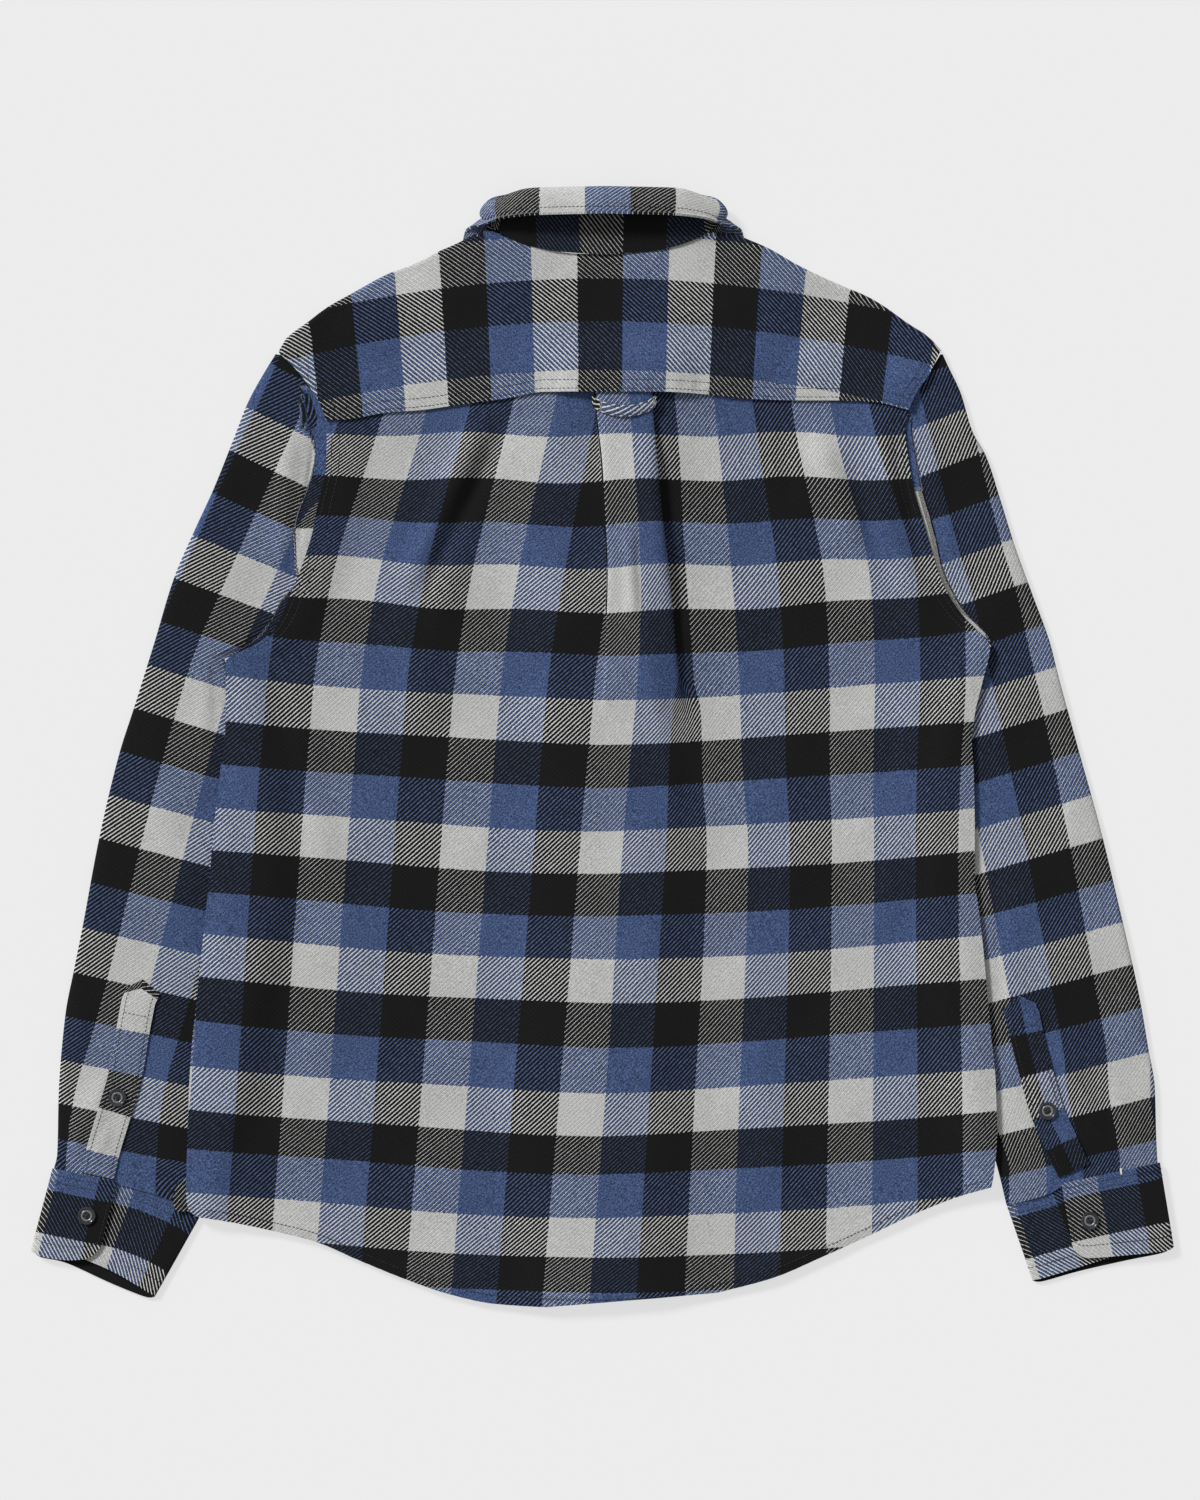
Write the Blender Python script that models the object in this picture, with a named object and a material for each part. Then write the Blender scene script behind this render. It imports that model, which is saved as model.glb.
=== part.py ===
"""A long-sleeved flannel shirt, buttoned and laid face down on a flat surface.

Every piece a maker cuts is a wall of cloth of its own.  A piece is first worked out as the middle
surface of its cloth, on a grid of two parameters, and then given its thickness along its normals.
Sizes are in millimetres until a mesh is made.  X runs across the shirt, Y runs from hem to collar and
Z points up from the surface that the shirt lies on.  Left and right are those of the view from above.
"""

import bmesh
import bpy
import numpy as np

MM = 0.001

# --- driving dimensions (millimetres) -------------------------------------------------------------
CLOTH = 1.1            # one layer of brushed flannel
BAND_CLOTH = 1.8       # collar and cuffs: two layers and an interlining
SEAM_GAP = 0.4         # room between two pieces at their seam, measured in the plane
LAYER_GAP = 0.3        # room between two pieces that lie on each other
LAP_GAP = 1.0          # the same under the yoke, where both bend
EDGE_GAP = 2.2         # room between the fronts' armhole edges and the sleeves
AIR = 1.7              # slack between the fronts and the back
CENTRE_X, CENTRE_Y = 1.305, -0.508   # middle of the laid-out shirt, in the pattern's own X and Y

SLEEVE_LOFT = 5.2      # an empty sleeve, both layers, between its folds
SLEEVE_END_LOFT = 4.4  # the same at the armhole, under the body's edge
SLEEVE_CAP = 0.354     # share of a sleeve's length beside the armhole
FOLD_BULGE = 0.8       # roundness of the inner fold
ARMHOLE_LAP = 5.0      # how far the body's edge lies over the sleeve
YOKE_LAP = 10.0        # how far the back runs up under the yoke
YOKE_FRONT = 38.0      # depth of the yoke in front of the shoulder
HEM_EXTRA = 0.8        # extra thickness of the turned hem

BAND_WIDTH = 35.0      # button band
BAND_LIFT = 2.1        # the band lies on its buttons
BAND_X = 3.0           # centre front
FRONT_SHORT = 5.0      # the fronts' hem stops short of the back's
LEAF_LIFT = 3.1        # the fronts lie on the collar leaf

PLEAT_RISE = 3.4       # the box pleat above the back
PLEAT_TUCK = 3.2       # how far its edges overhang
PLEAT_FLANK = 5.0      # half the width of a pleat edge in the pattern
PLEAT_FROM, PLEAT_TO = 0.44, 0.655   # shares of the back's width between which the pleat's net lies

# how the layers settle: each pair says how far something reaches and over what length it then fades
SLEEVE_CLEAR = 0.7                     # room between an empty sleeve and the body that lies on it
SLEEVE_REACH, SLEEVE_FADE = 34.0, 28.0         # in from a sleeve's inner fold
SLEEVE_OUT_LEFT, SLEEVE_OUT_RIGHT, SLEEVE_OUT_FADE = 92.0, 100.0, 26.0   # heights of the underarms
COLLAR_REACH_X, COLLAR_REACH_Y, COLLAR_Y, COLLAR_FADE = 120.0, 80.0, 322.0, 0.28
BAND_FLAT, BAND_FADE, BAND_TOP, BAND_TOP_FADE = 26.0, 55.0, 325.0, 35.0
OVERLAP_FLAT, OVERLAP_TOP, OVERLAP_TOP_FADE = 27.0, 335.0, 40.0
ARMHOLE_REACH, ARMHOLE_FADE = 52.0, 40.0
SEAM_REACH, SEAM_TOP, SEAM_FADE = 12.0, 60.0, 20.0      # front and back meet at the side seams
PLEAT_MARGIN, PLEAT_FADE = 16.0, 26.0
YOKE_SETTLE, YOKE_FADE = 8.0, 26.0
CAP_REACH, CAP_FADE, CAP_FOOT, CAP_FOOT_FADE = 60.0, 48.0, 20.0, 60.0    # a sleeve's thinner upper end
FOLDS_FOOT, FOLDS_FOOT_FADE = -290.0, 60.0              # a sleeve's folds end above its cuff
ARMHOLE_CLEAR, ARMHOLE_CLEAR_FADE = 6.0, 14.0           # and beside its armhole
SIDE_CLEAR, SIDE_CLEAR_FADE = 2.0, 16.0                 # and where the body lies on it
UNDERARM_Y, UNDERARM_FADE, SLEEVE_FOOT_Y, SLEEVE_FOOT_FADE = 64.0, 20.0, -345.0, 10.0
FAR_OUT = 40.0                         # stands for a place that no side edge covers
LAP_TOP_FADE, LAP_FOOT_FADE, END_SHORT = 45.0, 30.0, 1.6   # how a sleeve's end runs in under the body
FOLD_ENDS = 0.3                        # share of a fold's run over which it fades in and out

LOOP_X, LOOP_Y = -6.0, 253.6   # left end of the locker loop
LOOP_LENGTH = 46.0
LOOP_WIDTH = 8.0
LOOP_SAG = 8.5
LOOP_RISE = 1.0        # how far its middle stands off the pleat

BUTTON_DIAMETER = 13.0
BUTTON_THICK = 1.8
FRONT_BUTTONS = 6
FRONT_BUTTON_TOP, FRONT_BUTTON_LOW = 235.0, -330.0   # highest and lowest button of the band
BUTTON_LIFT = 0.15     # the front's buttons, all but on the surface
COLLAR_BUTTON_Y = 303.5
PLACKET_BUTTONS = (("left", -347.5, -252.5), ("right", 321.5, -262.0))
CUFF_BUTTONS = (("left", -369.5, -337.5), ("right", 352.0, -341.0))

# --- outlines: short tables, one row for each place where the edge changes --------------------------
# side seam, underarm and armhole of the body
LEFT_EDGE = dict(
    y=(-338, -333, -321, -282, -231, -179, -140, -93, -49, -14, 18, 62,
       70, 76, 86, 109, 138, 155, 171, 187, 200, 223, 235),
    x=(-290.5, -296, -298, -297, -295, -290, -286, -281, -277, -273, -269.5, -269.5,
       -255, -244, -234, -223, -212, -207, -204, -200, -197.5, -197, -198))
RIGHT_EDGE = dict(
    y=(-317, -306, -280, -240, -210, -177, -144, -118, -94, -59, -23, 3, 23, 44, 72,
       80, 96, 120, 142, 163, 187, 210, 228, 240),
    x=(281, 283, 285, 284, 281, 278, 275, 272, 269, 269, 268.5, 267, 269, 274, 280,
       274, 259, 245, 238, 232, 225, 221, 219, 221))
UNDERARM = 0.698       # where the underarm lies between the hem and the yoke, on both sides

HEM = dict(
    x=(-290.5, -266, -238, -206, -173, -141, -109, -76, -44, 0, 23, 54, 88, 125, 160, 193, 220, 241,
       260, 281),
    y=(-338, -342, -348, -356, -370, -383, -394, -401, -403, -404, -403, -400, -392, -382, -367,
       -352, -339, -330, -323, -317))
YOKE_SEAM = dict(
    x=(-198, -186, -155, -129, -101, -70, -39, 0, 40, 78, 109, 140, 164, 195, 222),
    y=(235, 235, 240, 242, 246, 250, 255, 255, 255, 253, 250, 249, 249, 248, 242))
SHOULDER_LEFT = dict(
    x=(-232, -229, -210, -197, -181, -149, -136, -118, -101, -90),
    y=(285, 290.5, 306, 316, 325, 342, 346.5, 355.5, 363, 369))
SHOULDER_RIGHT = dict(
    x=(94, 104, 122, 141, 173, 192, 204, 222, 236, 245),
    y=(370, 365.8, 358, 347, 332, 324, 317, 304, 295, 285))
NECK_SEAM = dict(
    x=(-90, -79, -69, -50, -34, -19, 2, 19, 34, 50, 66, 78, 94),
    y=(370, 371, 367, 360, 357, 355, 354.5, 355, 357, 360, 365, 370, 370))

# sleeve outlines, from the shoulder (or the underarm) to the cuff seam
SLEEVE_LEFT = dict(
    outer_y=(285, 269, 247, 224, 184, 158, 121, 75, 27, -4, -67, -131, -161, -192, -250, -290, -303),
    outer_x=(-232, -242, -254, -263, -279, -291, -307, -321, -336, -346, -361, -373, -379, -385, -390,
             -391, -394),
    inner_y=(63, 40, 0, -60, -130, -200, -270, -320, -339),
    inner_x=(-270, -263, -253, -247, -250, -262, -276, -286, -290),
    armhole_y=(285, 273, 260, 247, 236, 223, 200, 187, 171, 155, 138, 109, 86, 76, 70, 63),
    armhole_x=(-232, -220, -210, -202, -198, -197, -197.5, -200, -204, -207, -212, -223, -234, -244,
               -255, -270),
    cuff_x=(-394, -370, -349, -332, -304, -290),
    cuff_y=(-303, -307.5, -312, -316, -325.5, -337))
SLEEVE_RIGHT = dict(
    outer_y=(285, 274, 255, 226, 210, 177, 145, 109, 73, 57, 5, -60, -114, -157, -186, -215, -244,
             -279, -298),
    outer_x=(245, 250, 259, 268, 277, 288, 298, 311, 324, 328, 342, 360, 373, 383, 389, 394, 399,
             400, 401),
    inner_y=(72, 45, 0, -60, -130, -200, -270, -310, -327),
    inner_x=(280, 271, 257, 251, 253, 263, 278, 289, 293),
    armhole_y=(285, 269, 254, 242, 228, 210, 187, 163, 142, 120, 96, 80, 72),
    armhole_x=(245, 237, 227, 222, 219, 221, 225, 232, 238, 245, 259, 274, 280),
    cuff_x=(401, 382, 354, 332, 323, 293),
    cuff_y=(-298, -301.5, -308, -313.5, -318.5, -327))

# a cuff is one band, wrapped from the end of its flap round to the end that lies under the flap
CUFF_LEFT = dict(
    seam_x=(-348, -370, -388, -393.5, -389, -370, -345, -304, -290.2, -296, -330, -366),
    seam_y=(-313, -308.5, -304.6, -303.8, -305, -309.4, -314.2, -328, -339, -332.5, -317.5, -310),
    edge_x=(-361.5, -384, -403, -409, -403, -384, -352, -328, -321.5, -326, -352, -384),
    edge_y=(-368, -369.5, -366.5, -362.5, -367.5, -372, -386.5, -396, -395.6, -392.5, -377.3, -364),
    z=(5.6, 5.5, 5.1, 3.2, 1.3, 0.95, 0.95, 1.05, 2.05, 3.1, 3.2, 3.2))
CUFF_RIGHT = dict(
    seam_x=(331.6, 354, 396, 401.3, 396, 370, 338, 300, 292.8, 299, 323, 356),
    seam_y=(-314.5, -309.5, -300.8, -299.6, -301.6, -306.5, -314.5, -327.6, -328.6, -326.6, -319.8, -310.4),
    edge_x=(341, 366, 406, 411.3, 405.5, 378, 345, 318, 311.8, 318, 345, 372),
    edge_y=(-368.5, -367, -363, -359, -364.2, -370, -377.5, -385, -383.8, -382.6, -374.5, -366),
    z=(5.6, 5.5, 5.1, 3.2, 1.3, 0.95, 0.95, 1.05, 2.05, 3.1, 3.2, 3.2))
CUFF_CORNER = 11.0     # radius of the flap's corner

# centre line of each sleeve placket, from its point down to the cuff
PLACKET_LEFT = dict(y=(-167.5, -200, -237, -265, -290, -309.5), x=(-329, -335.5, -342, -350, -357.5, -362))
PLACKET_RIGHT = dict(y=(-179, -205, -235, -262, -283, -306), x=(301, 306, 313.5, 321, 330.5, 341))
PLACKET_WIDTH = 24.0
PLACKET_POINT = 8.0    # depth of its pointed end

# half of the collar from the centre back to the centre front: the neck seam and the top of the stand,
# the root and the outer edge of the leaf; turn and roll are the way and how far the leaf stands out
# from its root before it turns back, share is how much of the leaf's width that turn takes, and drop
# how much of its height
COLLAR = dict(
    seam_x=(0, 34, 52, 68, 77, 84, 82.5, 70, 56, 31, 0),
    seam_y=(353.6, 356.1, 359.9, 365.6, 371.2, 375.5, 356.5, 334.8, 313.8, 296.8, 289.6),
    seam_z=(8.1, 8.1, 8.1, 8.1, 7.8, 4.3, 3.6, 3.5, 3.5, 3.5, 3.5),
    top_x=(0, 35, 53.5, 65.5, 71, 70, 62, 47.5, 36, 19, 0),
    top_y=(383.4, 384.4, 386.4, 389.2, 389.5, 386, 374.5, 352, 334, 321.2, 316.2),
    top_z=(11, 11, 10.6, 10.2, 9.2, 5.6, 3.6, 3.5, 3.5, 3.5, 3.5),
    root_x=(0, 35, 54, 67, 74, 67.0, 58.7, 44.6, 33.5, 17.5, 0),
    root_y=(385.5, 386.5, 388.5, 391, 393.4, 390.4, 378.2, 353.9, 336.5, 324.4, 319.4),
    root_z=(11, 11, 10.6, 10.2, 9.8, 6.4, 3.6, 3.5, 3.5, 3.5, 3.5),
    turn_x=(0, 0.05, 0.12, 0.3, 0.9, 0.7, -0.6, -0.6, -0.6, -0.4, 0),
    turn_y=(1, 1, 0.99, 0.95, 0.4, 0.7, 0.8, 0.8, 0.8, 0.9, 1),
    roll=(18, 17, 15, 9.5, 8, 6.8, 2.2, 2.0, 2.0, 2.0, 2.0),
    share=(0.85, 0.85, 0.85, 0.85, 0.8, 0.5, 0.05, 0.05, 0.05, 0.05, 0.05),
    drop=(0.85, 0.85, 0.85, 0.85, 0.8, 0.75, 1, 1, 1, 1, 1),
    edge_x=(0, 37, 57, 74, 86, 99.5, 100, 88, 76, 64, 50),
    edge_y=(383, 382.3, 381.3, 379, 375, 370.5, 351, 322, 294, 276, 264),
    edge_z=(26, 25, 23, 19, 13, 1.9, 0.95, 0.95, 0.95, 0.95, 0.95))
COLLAR_X = 2.3         # centre line of the collar

# box pleat: its two edges, from the yoke seam down to where it opens out
PLEAT = dict(
    y=(268, 255, 200, 160, 130, 95, 50, 20),
    left=(-1, -1, 4, 6, 7, 6, 3, 1),
    right=(35, 35, 39, 43, 47, 51, 56, 62),
    depth=(1, 1, 1, 0.95, 0.85, 0.62, 0.28, 0.0))

# largest folds: soft ridges (rise above 0) and troughs, each along a straight run
FOLDS_BACK = dict(
    x0=(-128, 150, 196, 60), y0=(214, 226, 236, 100),
    x1=(-60, 186, 214, 72), y1=(122, 150, 170, 10),
    half_width=(13, 10, 8, 9), rise=(1.6, 1.8, 1.6, -0.6))
FOLDS_SLEEVE_LEFT = dict(
    x0=(-216, -240, -330, -352), y0=(246, 100, 40, -230),
    x1=(-226, -300, -300, -374), y1=(112, -20, -120, -290),
    half_width=(6, 14, 16, 8), rise=(1.6, 1.0, 0.9, 1.4))
FOLDS_SLEEVE_RIGHT = dict(
    x0=(232, 262, 330, 345, 372), y0=(222, 120, -20, -252, -240),
    x1=(256, 318, 352, 352, 380), y1=(128, 0, -170, -284, -296),
    half_width=(6, 14, 16, 8, 6), rise=(1.4, 1.0, 0.9, 2.0, 1.2))

COLOURS = dict(flannel=(0.12, 0.16, 0.27), band=(0.10, 0.13, 0.22), button=(0.03, 0.03, 0.035))


# --- small tools ------------------------------------------------------------------------------------
def smooth(t):
    """0 below 0, 1 above 1, and a soft S between."""
    t = np.clip(t, 0.0, 1.0)
    return t * t * (3.0 - 2.0 * t)


def plateau(distance, flat, fade):
    """1 within flat of the middle, falling softly to 0 over the next fade."""
    return 1.0 - smooth((np.abs(distance) - flat) / fade)


def highest(*heights):
    """A soft maximum of heights."""
    return sum(np.maximum(h, 0.0) ** 4 for h in heights) ** 0.25


def table_curve(places, values, at):
    """Values read between the rows of a table on a smooth curve that never overshoots its rows."""
    t = np.asarray(places, float)
    v = np.asarray(values, float)
    if t[0] > t[-1]:
        t, v = t[::-1], v[::-1]
    step = np.diff(t)
    slope = np.diff(v) / step
    tangent = np.zeros_like(v)
    same = slope[1:] * slope[:-1] > 0
    weight1, weight2 = 2 * step[1:] + step[:-1], step[1:] + 2 * step[:-1]
    with np.errstate(divide="ignore", invalid="ignore"):
        harmonic = (weight1 + weight2) / (weight1 / slope[:-1] + weight2 / slope[1:])
    tangent[1:-1] = np.where(same, harmonic, 0.0)
    tangent[0], tangent[-1] = slope[0], slope[-1]
    at = np.clip(np.asarray(at, float), t[0], t[-1])
    k = np.clip(np.searchsorted(t, at, side="right") - 1, 0, len(t) - 2)
    s = (at - t[k]) / step[k]
    return ((1 + 2 * s) * (1 - s) ** 2 * v[k] + s * (1 - s) ** 2 * step[k] * tangent[k]
            + s * s * (3 - 2 * s) * v[k + 1] + s * s * (s - 1) * step[k] * tangent[k + 1])


def row_curve(values, at):
    """Values read along a table's rows, with at running from 0 to 1 over all rows (Catmull-Rom)."""
    v = np.asarray(values, float)
    t = np.clip(np.asarray(at, float), 0.0, 1.0) * (len(v) - 1)
    k = np.clip(t.astype(int), 0, len(v) - 2)
    s = t - k
    before, after = v[np.maximum(k - 1, 0)], v[np.minimum(k + 2, len(v) - 1)]
    return 0.5 * (2 * v[k] + (v[k + 1] - before) * s
                  + (2 * before - 5 * v[k] + 4 * v[k + 1] - after) * s ** 2
                  + (3 * v[k] - 3 * v[k + 1] + after - before) * s ** 3)


def spread(*stretches):
    """Places along a line: each stretch is (end, steps), starting from 0."""
    places, start = [0.0], 0.0
    for end, steps in stretches:
        places += [start + (end - start) * (k + 1) / steps for k in range(steps)]
        start = end
    return np.array(places)


def net(bottom, top, left, right, u, v, reach=1.0):
    """A net of lines between four edges: u runs along bottom and top, v up the sides.  Straight lines
    between the sides are bent by the bottom's shape, and over the last share reach by the top's."""
    u, v = u[:, None, None], v[None, :, None]
    bottom, top, left, right = bottom[:, None], top[:, None], left[None], right[None]
    bottom_bend = bottom - (1 - u) * bottom[:1] - u * bottom[-1:]
    top_bend = top - (1 - u) * top[:1] - u * top[-1:]
    near_top = np.clip((v - 1 + reach) / reach, 0.0, 1.0)
    return (1 - u) * left + u * right + (1 - v) * bottom_bend + near_top * top_bend


def folds(table, x, y):
    """Soft ridges along straight runs, each fading at its ends."""
    height = np.zeros_like(x)
    for k in range(len(table["x0"])):
        start = np.array((table["x0"][k], table["y0"][k]), float)
        run = np.array((table["x1"][k], table["y1"][k]), float) - start
        length = np.hypot(*run)
        along = ((x - start[0]) * run[0] + (y - start[1]) * run[1]) / length ** 2
        off = ((x - start[0]) * run[1] - (y - start[1]) * run[0]) / length
        ends = smooth(along / FOLD_ENDS) * smooth((1 - along) / FOLD_ENDS)
        height += table["rise"][k] * ends * np.exp(-(off / table["half_width"][k]) ** 2)
    return height


# --- how high the layers lie --------------------------------------------------------------------------
def over_sleeves(x, y):
    """Rise of the body where an empty sleeve runs under its side."""
    fold_left = table_curve(SLEEVE_LEFT["inner_y"], SLEEVE_LEFT["inner_x"], y)
    fold_right = table_curve(SLEEVE_RIGHT["inner_y"], SLEEVE_RIGHT["inner_x"], y)
    low_left = smooth((SLEEVE_OUT_LEFT - y) / SLEEVE_OUT_FADE) * smooth(
        (fold_left + SLEEVE_REACH - x) / SLEEVE_FADE)
    low_right = smooth((SLEEVE_OUT_RIGHT - y) / SLEEVE_OUT_FADE) * smooth(
        (x - fold_right + SLEEVE_REACH) / SLEEVE_FADE)
    return (SLEEVE_LOFT + SLEEVE_CLEAR) * np.maximum(low_left, low_right)


def over_collar(x, y):
    """Rise of the fronts and the yoke where the collar leaf lies under them."""
    reach = np.hypot((x - COLLAR_X) / COLLAR_REACH_X, (y - COLLAR_Y) / COLLAR_REACH_Y)
    return LEAF_LIFT * (1 - smooth((reach - 1) / COLLAR_FADE))


def front_under(x, y):
    """Underside of the front that carries the button band."""
    below_neck = smooth((BAND_TOP - y) / BAND_TOP_FADE)
    band = (BAND_LIFT + CLOTH + LAYER_GAP) * plateau(x - BAND_X, BAND_FLAT, BAND_FADE) * below_neck
    return highest(over_sleeves(x, y), over_collar(x, y), band)


def overlap_step(x, y):
    """The other front lies one layer higher where the two fronts overlap."""
    below_neck = smooth((OVERLAP_TOP - y) / OVERLAP_TOP_FADE)
    return (CLOTH + LAYER_GAP) * plateau(x - BAND_X, OVERLAP_FLAT, BAND_FADE) * below_neck


def armhole_lift(x, y):
    """The body's edge lies over the end of each sleeve."""
    left = x - table_curve(SLEEVE_LEFT["armhole_y"], SLEEVE_LEFT["armhole_x"], y)
    right = table_curve(SLEEVE_RIGHT["armhole_y"], SLEEVE_RIGHT["armhole_x"], y) - x
    near = np.minimum(left, right)
    return (SLEEVE_END_LOFT + 2 * LAYER_GAP) * smooth((ARMHOLE_REACH - near) / ARMHOLE_FADE)


def side_distance(x, y):
    """How far inside the body's side edge a place lies."""
    return np.minimum(x - table_curve(LEFT_EDGE["y"], LEFT_EDGE["x"], y),
                      table_curve(RIGHT_EDGE["y"], RIGHT_EDGE["x"], y) - x)


def back_under(x, y):
    """Underside of the back, without its pleat."""
    beside = smooth((SEAM_REACH - side_distance(x, y)) / SEAM_REACH)
    seam = (AIR - LAYER_GAP) * beside * smooth((SEAM_TOP - y) / SEAM_FADE)
    floor = front_under(x, y) + overlap_step(x, y) + CLOTH + AIR - seam
    return highest(floor, armhole_lift(x, y)) + folds(FOLDS_BACK, x, y)


def over_pleat(x, y):
    """Rise of what lies on the box pleat."""
    middle = 0.5 * (PLEAT["left"][0] + PLEAT["right"][0])
    half = 0.5 * (PLEAT["right"][0] - PLEAT["left"][0])
    return PLEAT_RISE * plateau(x - middle, half + PLEAT_MARGIN, PLEAT_FADE)


def yoke_under(x, y):
    """Underside of the yoke: it lies on the back along its seam, and settles above it."""
    above = y - table_curve(YOKE_SEAM["x"], YOKE_SEAM["y"], x)
    lap = 1 - smooth((above - YOKE_LAP - YOKE_SETTLE) / YOKE_FADE)
    return back_under(x, y) + lap * (CLOTH + LAP_GAP + over_pleat(x, y))


def sleeve_top(side, x, y):
    """Middle of a sleeve's upper layer."""
    table, sign, creases = SLEEVES[side]
    armhole = sign * (x - table_curve(table["armhole_y"], table["armhole_x"], y))
    near_armhole = smooth((armhole + CAP_REACH) / CAP_FADE) * smooth((y - CAP_FOOT) / CAP_FOOT_FADE)
    loft = SLEEVE_LOFT + (SLEEVE_END_LOFT - SLEEVE_LOFT) * near_armhole
    above_cuff = smooth((y - FOLDS_FOOT) / FOLDS_FOOT_FADE)
    clear = smooth((-armhole - ARMHOLE_CLEAR) / ARMHOLE_CLEAR_FADE)
    shown = smooth((side_gap(side, x, y) - SIDE_CLEAR) / SIDE_CLEAR_FADE)
    return loft - CLOTH / 2 + folds(creases, x, y) * above_cuff * clear * shown


def side_gap(side, x, y):
    """How far outside the body's side edge a place on a sleeve lies, or far away above the underarm."""
    if side == "left":
        gap = table_curve(LEFT_EDGE["y"], LEFT_EDGE["x"], y) - x
    else:
        gap = x - table_curve(RIGHT_EDGE["y"], RIGHT_EDGE["x"], y)
    above = smooth((y - UNDERARM_Y) / UNDERARM_FADE)
    below = smooth((SLEEVE_FOOT_Y - y) / SLEEVE_FOOT_FADE)
    return gap + FAR_OUT * (above + below)


SLEEVES = dict(left=(SLEEVE_LEFT, 1, FOLDS_SLEEVE_LEFT), right=(SLEEVE_RIGHT, -1, FOLDS_SLEEVE_RIGHT))


# --- making solids ---------------------------------------------------------------------------------
def normals(grid, around=False):
    """Unit normals of a grid of points, across its two directions."""
    if around:
        along_u = np.roll(grid, -1, axis=0) - np.roll(grid, 1, axis=0)
    else:
        along_u = np.gradient(grid, axis=0)
    along_v = np.gradient(grid, axis=1)
    n = np.cross(along_u, along_v)
    return n / np.maximum(np.linalg.norm(n, axis=2, keepdims=True), 1e-9)


def wall(name, grid, thick, material, keep=None, around=False):
    """Give a middle surface its thickness, and close it all round as one solid."""
    nu, nv = grid.shape[:2]
    thick = np.broadcast_to(thick, (nu, nv))[..., None]
    lift = normals(grid, around) * thick / 2
    points = np.concatenate([(grid + lift).reshape(-1, 3), (grid - lift).reshape(-1, 3)])
    index = np.arange(nu * nv).reshape(nu, nv)
    if around:
        index = np.concatenate([index, index[:1]])
    quads = np.stack([index[:-1, :-1], index[1:, :-1], index[1:, 1:], index[:-1, 1:]], axis=-1)
    if keep is not None:
        quads = quads[keep]
    quads = quads.reshape(-1, 4)
    under = nu * nv
    edges = {}
    for quad in quads.tolist():
        for k in range(4):
            edges[(quad[k], quad[(k + 1) % 4])] = True
    rim = [(b, a, a + under, b + under) for a, b in edges if (b, a) not in edges]
    faces = quads.tolist() + (quads[:, ::-1] + under).tolist() + rim
    return solid(name, points, faces, material)


def solid(name, points, faces, material):
    """A mesh object from points in millimetres, with loose points dropped."""
    points = (np.asarray(points, float) - (CENTRE_X, CENTRE_Y, 0.0)) * MM
    mesh = bpy.data.meshes.new(name)
    mesh.from_pydata([tuple(p) for p in points], [], [tuple(f) for f in faces])
    shape = bmesh.new()
    shape.from_mesh(mesh)
    bmesh.ops.delete(shape, geom=[v for v in shape.verts if not v.link_faces], context="VERTS")
    shape.to_mesh(mesh)
    shape.free()
    mesh.materials.append(material)
    piece = bpy.data.objects.new(name, mesh)
    bpy.context.scene.collection.objects.link(piece)
    return piece


def finish(name, colour, roughness):
    """One plain Principled material for a piece."""
    material = bpy.data.materials.new(name)
    material.use_nodes = True
    shader = material.node_tree.nodes["Principled BSDF"]
    shader.inputs["Base Color"].default_value = (*colour, 1.0)
    shader.inputs["Roughness"].default_value = roughness
    return material


def flannel(name):
    """The plain body cloth, as a material of its own for each piece."""
    return finish(name, COLOURS["flannel"], 0.9)


def points(x, y, z):
    return np.stack(np.broadcast_arrays(x, y, z), axis=-1).astype(float)


def pairs(x, y):
    return np.stack(np.broadcast_arrays(x, y), axis=-1).astype(float)


# --- body --------------------------------------------------------------------------------------------
SIDE_ROWS = spread((0.0125, 1), (0.03, 1), (0.10, 1), (UNDERARM, 12), (0.75, 4), (1.0, 5))
SHOULDER_STEPS = 7


def side_edge(table, fraction, inset):
    """Points up one side of the body, from the hem to the yoke."""
    y = table["y"][0] + (table["y"][-1] - table["y"][0]) * fraction
    return pairs(table_curve(table["y"], table["x"], y) + inset, y)


def back_plan(u, v):
    """The back laid flat: between hem, yoke seam and the two sides, v beyond 1 runs under the yoke."""
    hem_x = HEM["x"][0] + (HEM["x"][-1] - HEM["x"][0]) * u
    seam_x = YOKE_SEAM["x"][0] + (YOKE_SEAM["x"][-1] - YOKE_SEAM["x"][0]) * u
    bottom = pairs(hem_x, table_curve(HEM["x"], HEM["y"], hem_x))
    top = pairs(seam_x, table_curve(YOKE_SEAM["x"], YOKE_SEAM["y"], seam_x))
    left = side_edge(LEFT_EDGE, v, 0.0)
    right = side_edge(RIGHT_EDGE, v, 0.0)
    return net(bottom, top, left, right, u, v)


def pleat_edge(edge, outwards, t, depth):
    """Across one edge of the box pleat: an S that swings out over the cloth beside it."""
    swing = np.sin(2 * np.pi * t) * PLEAT_TUCK * depth
    return edge - outwards * ((2 * t - 1) * PLEAT_FLANK + swing), smooth(t) * PLEAT_RISE * depth


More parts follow.
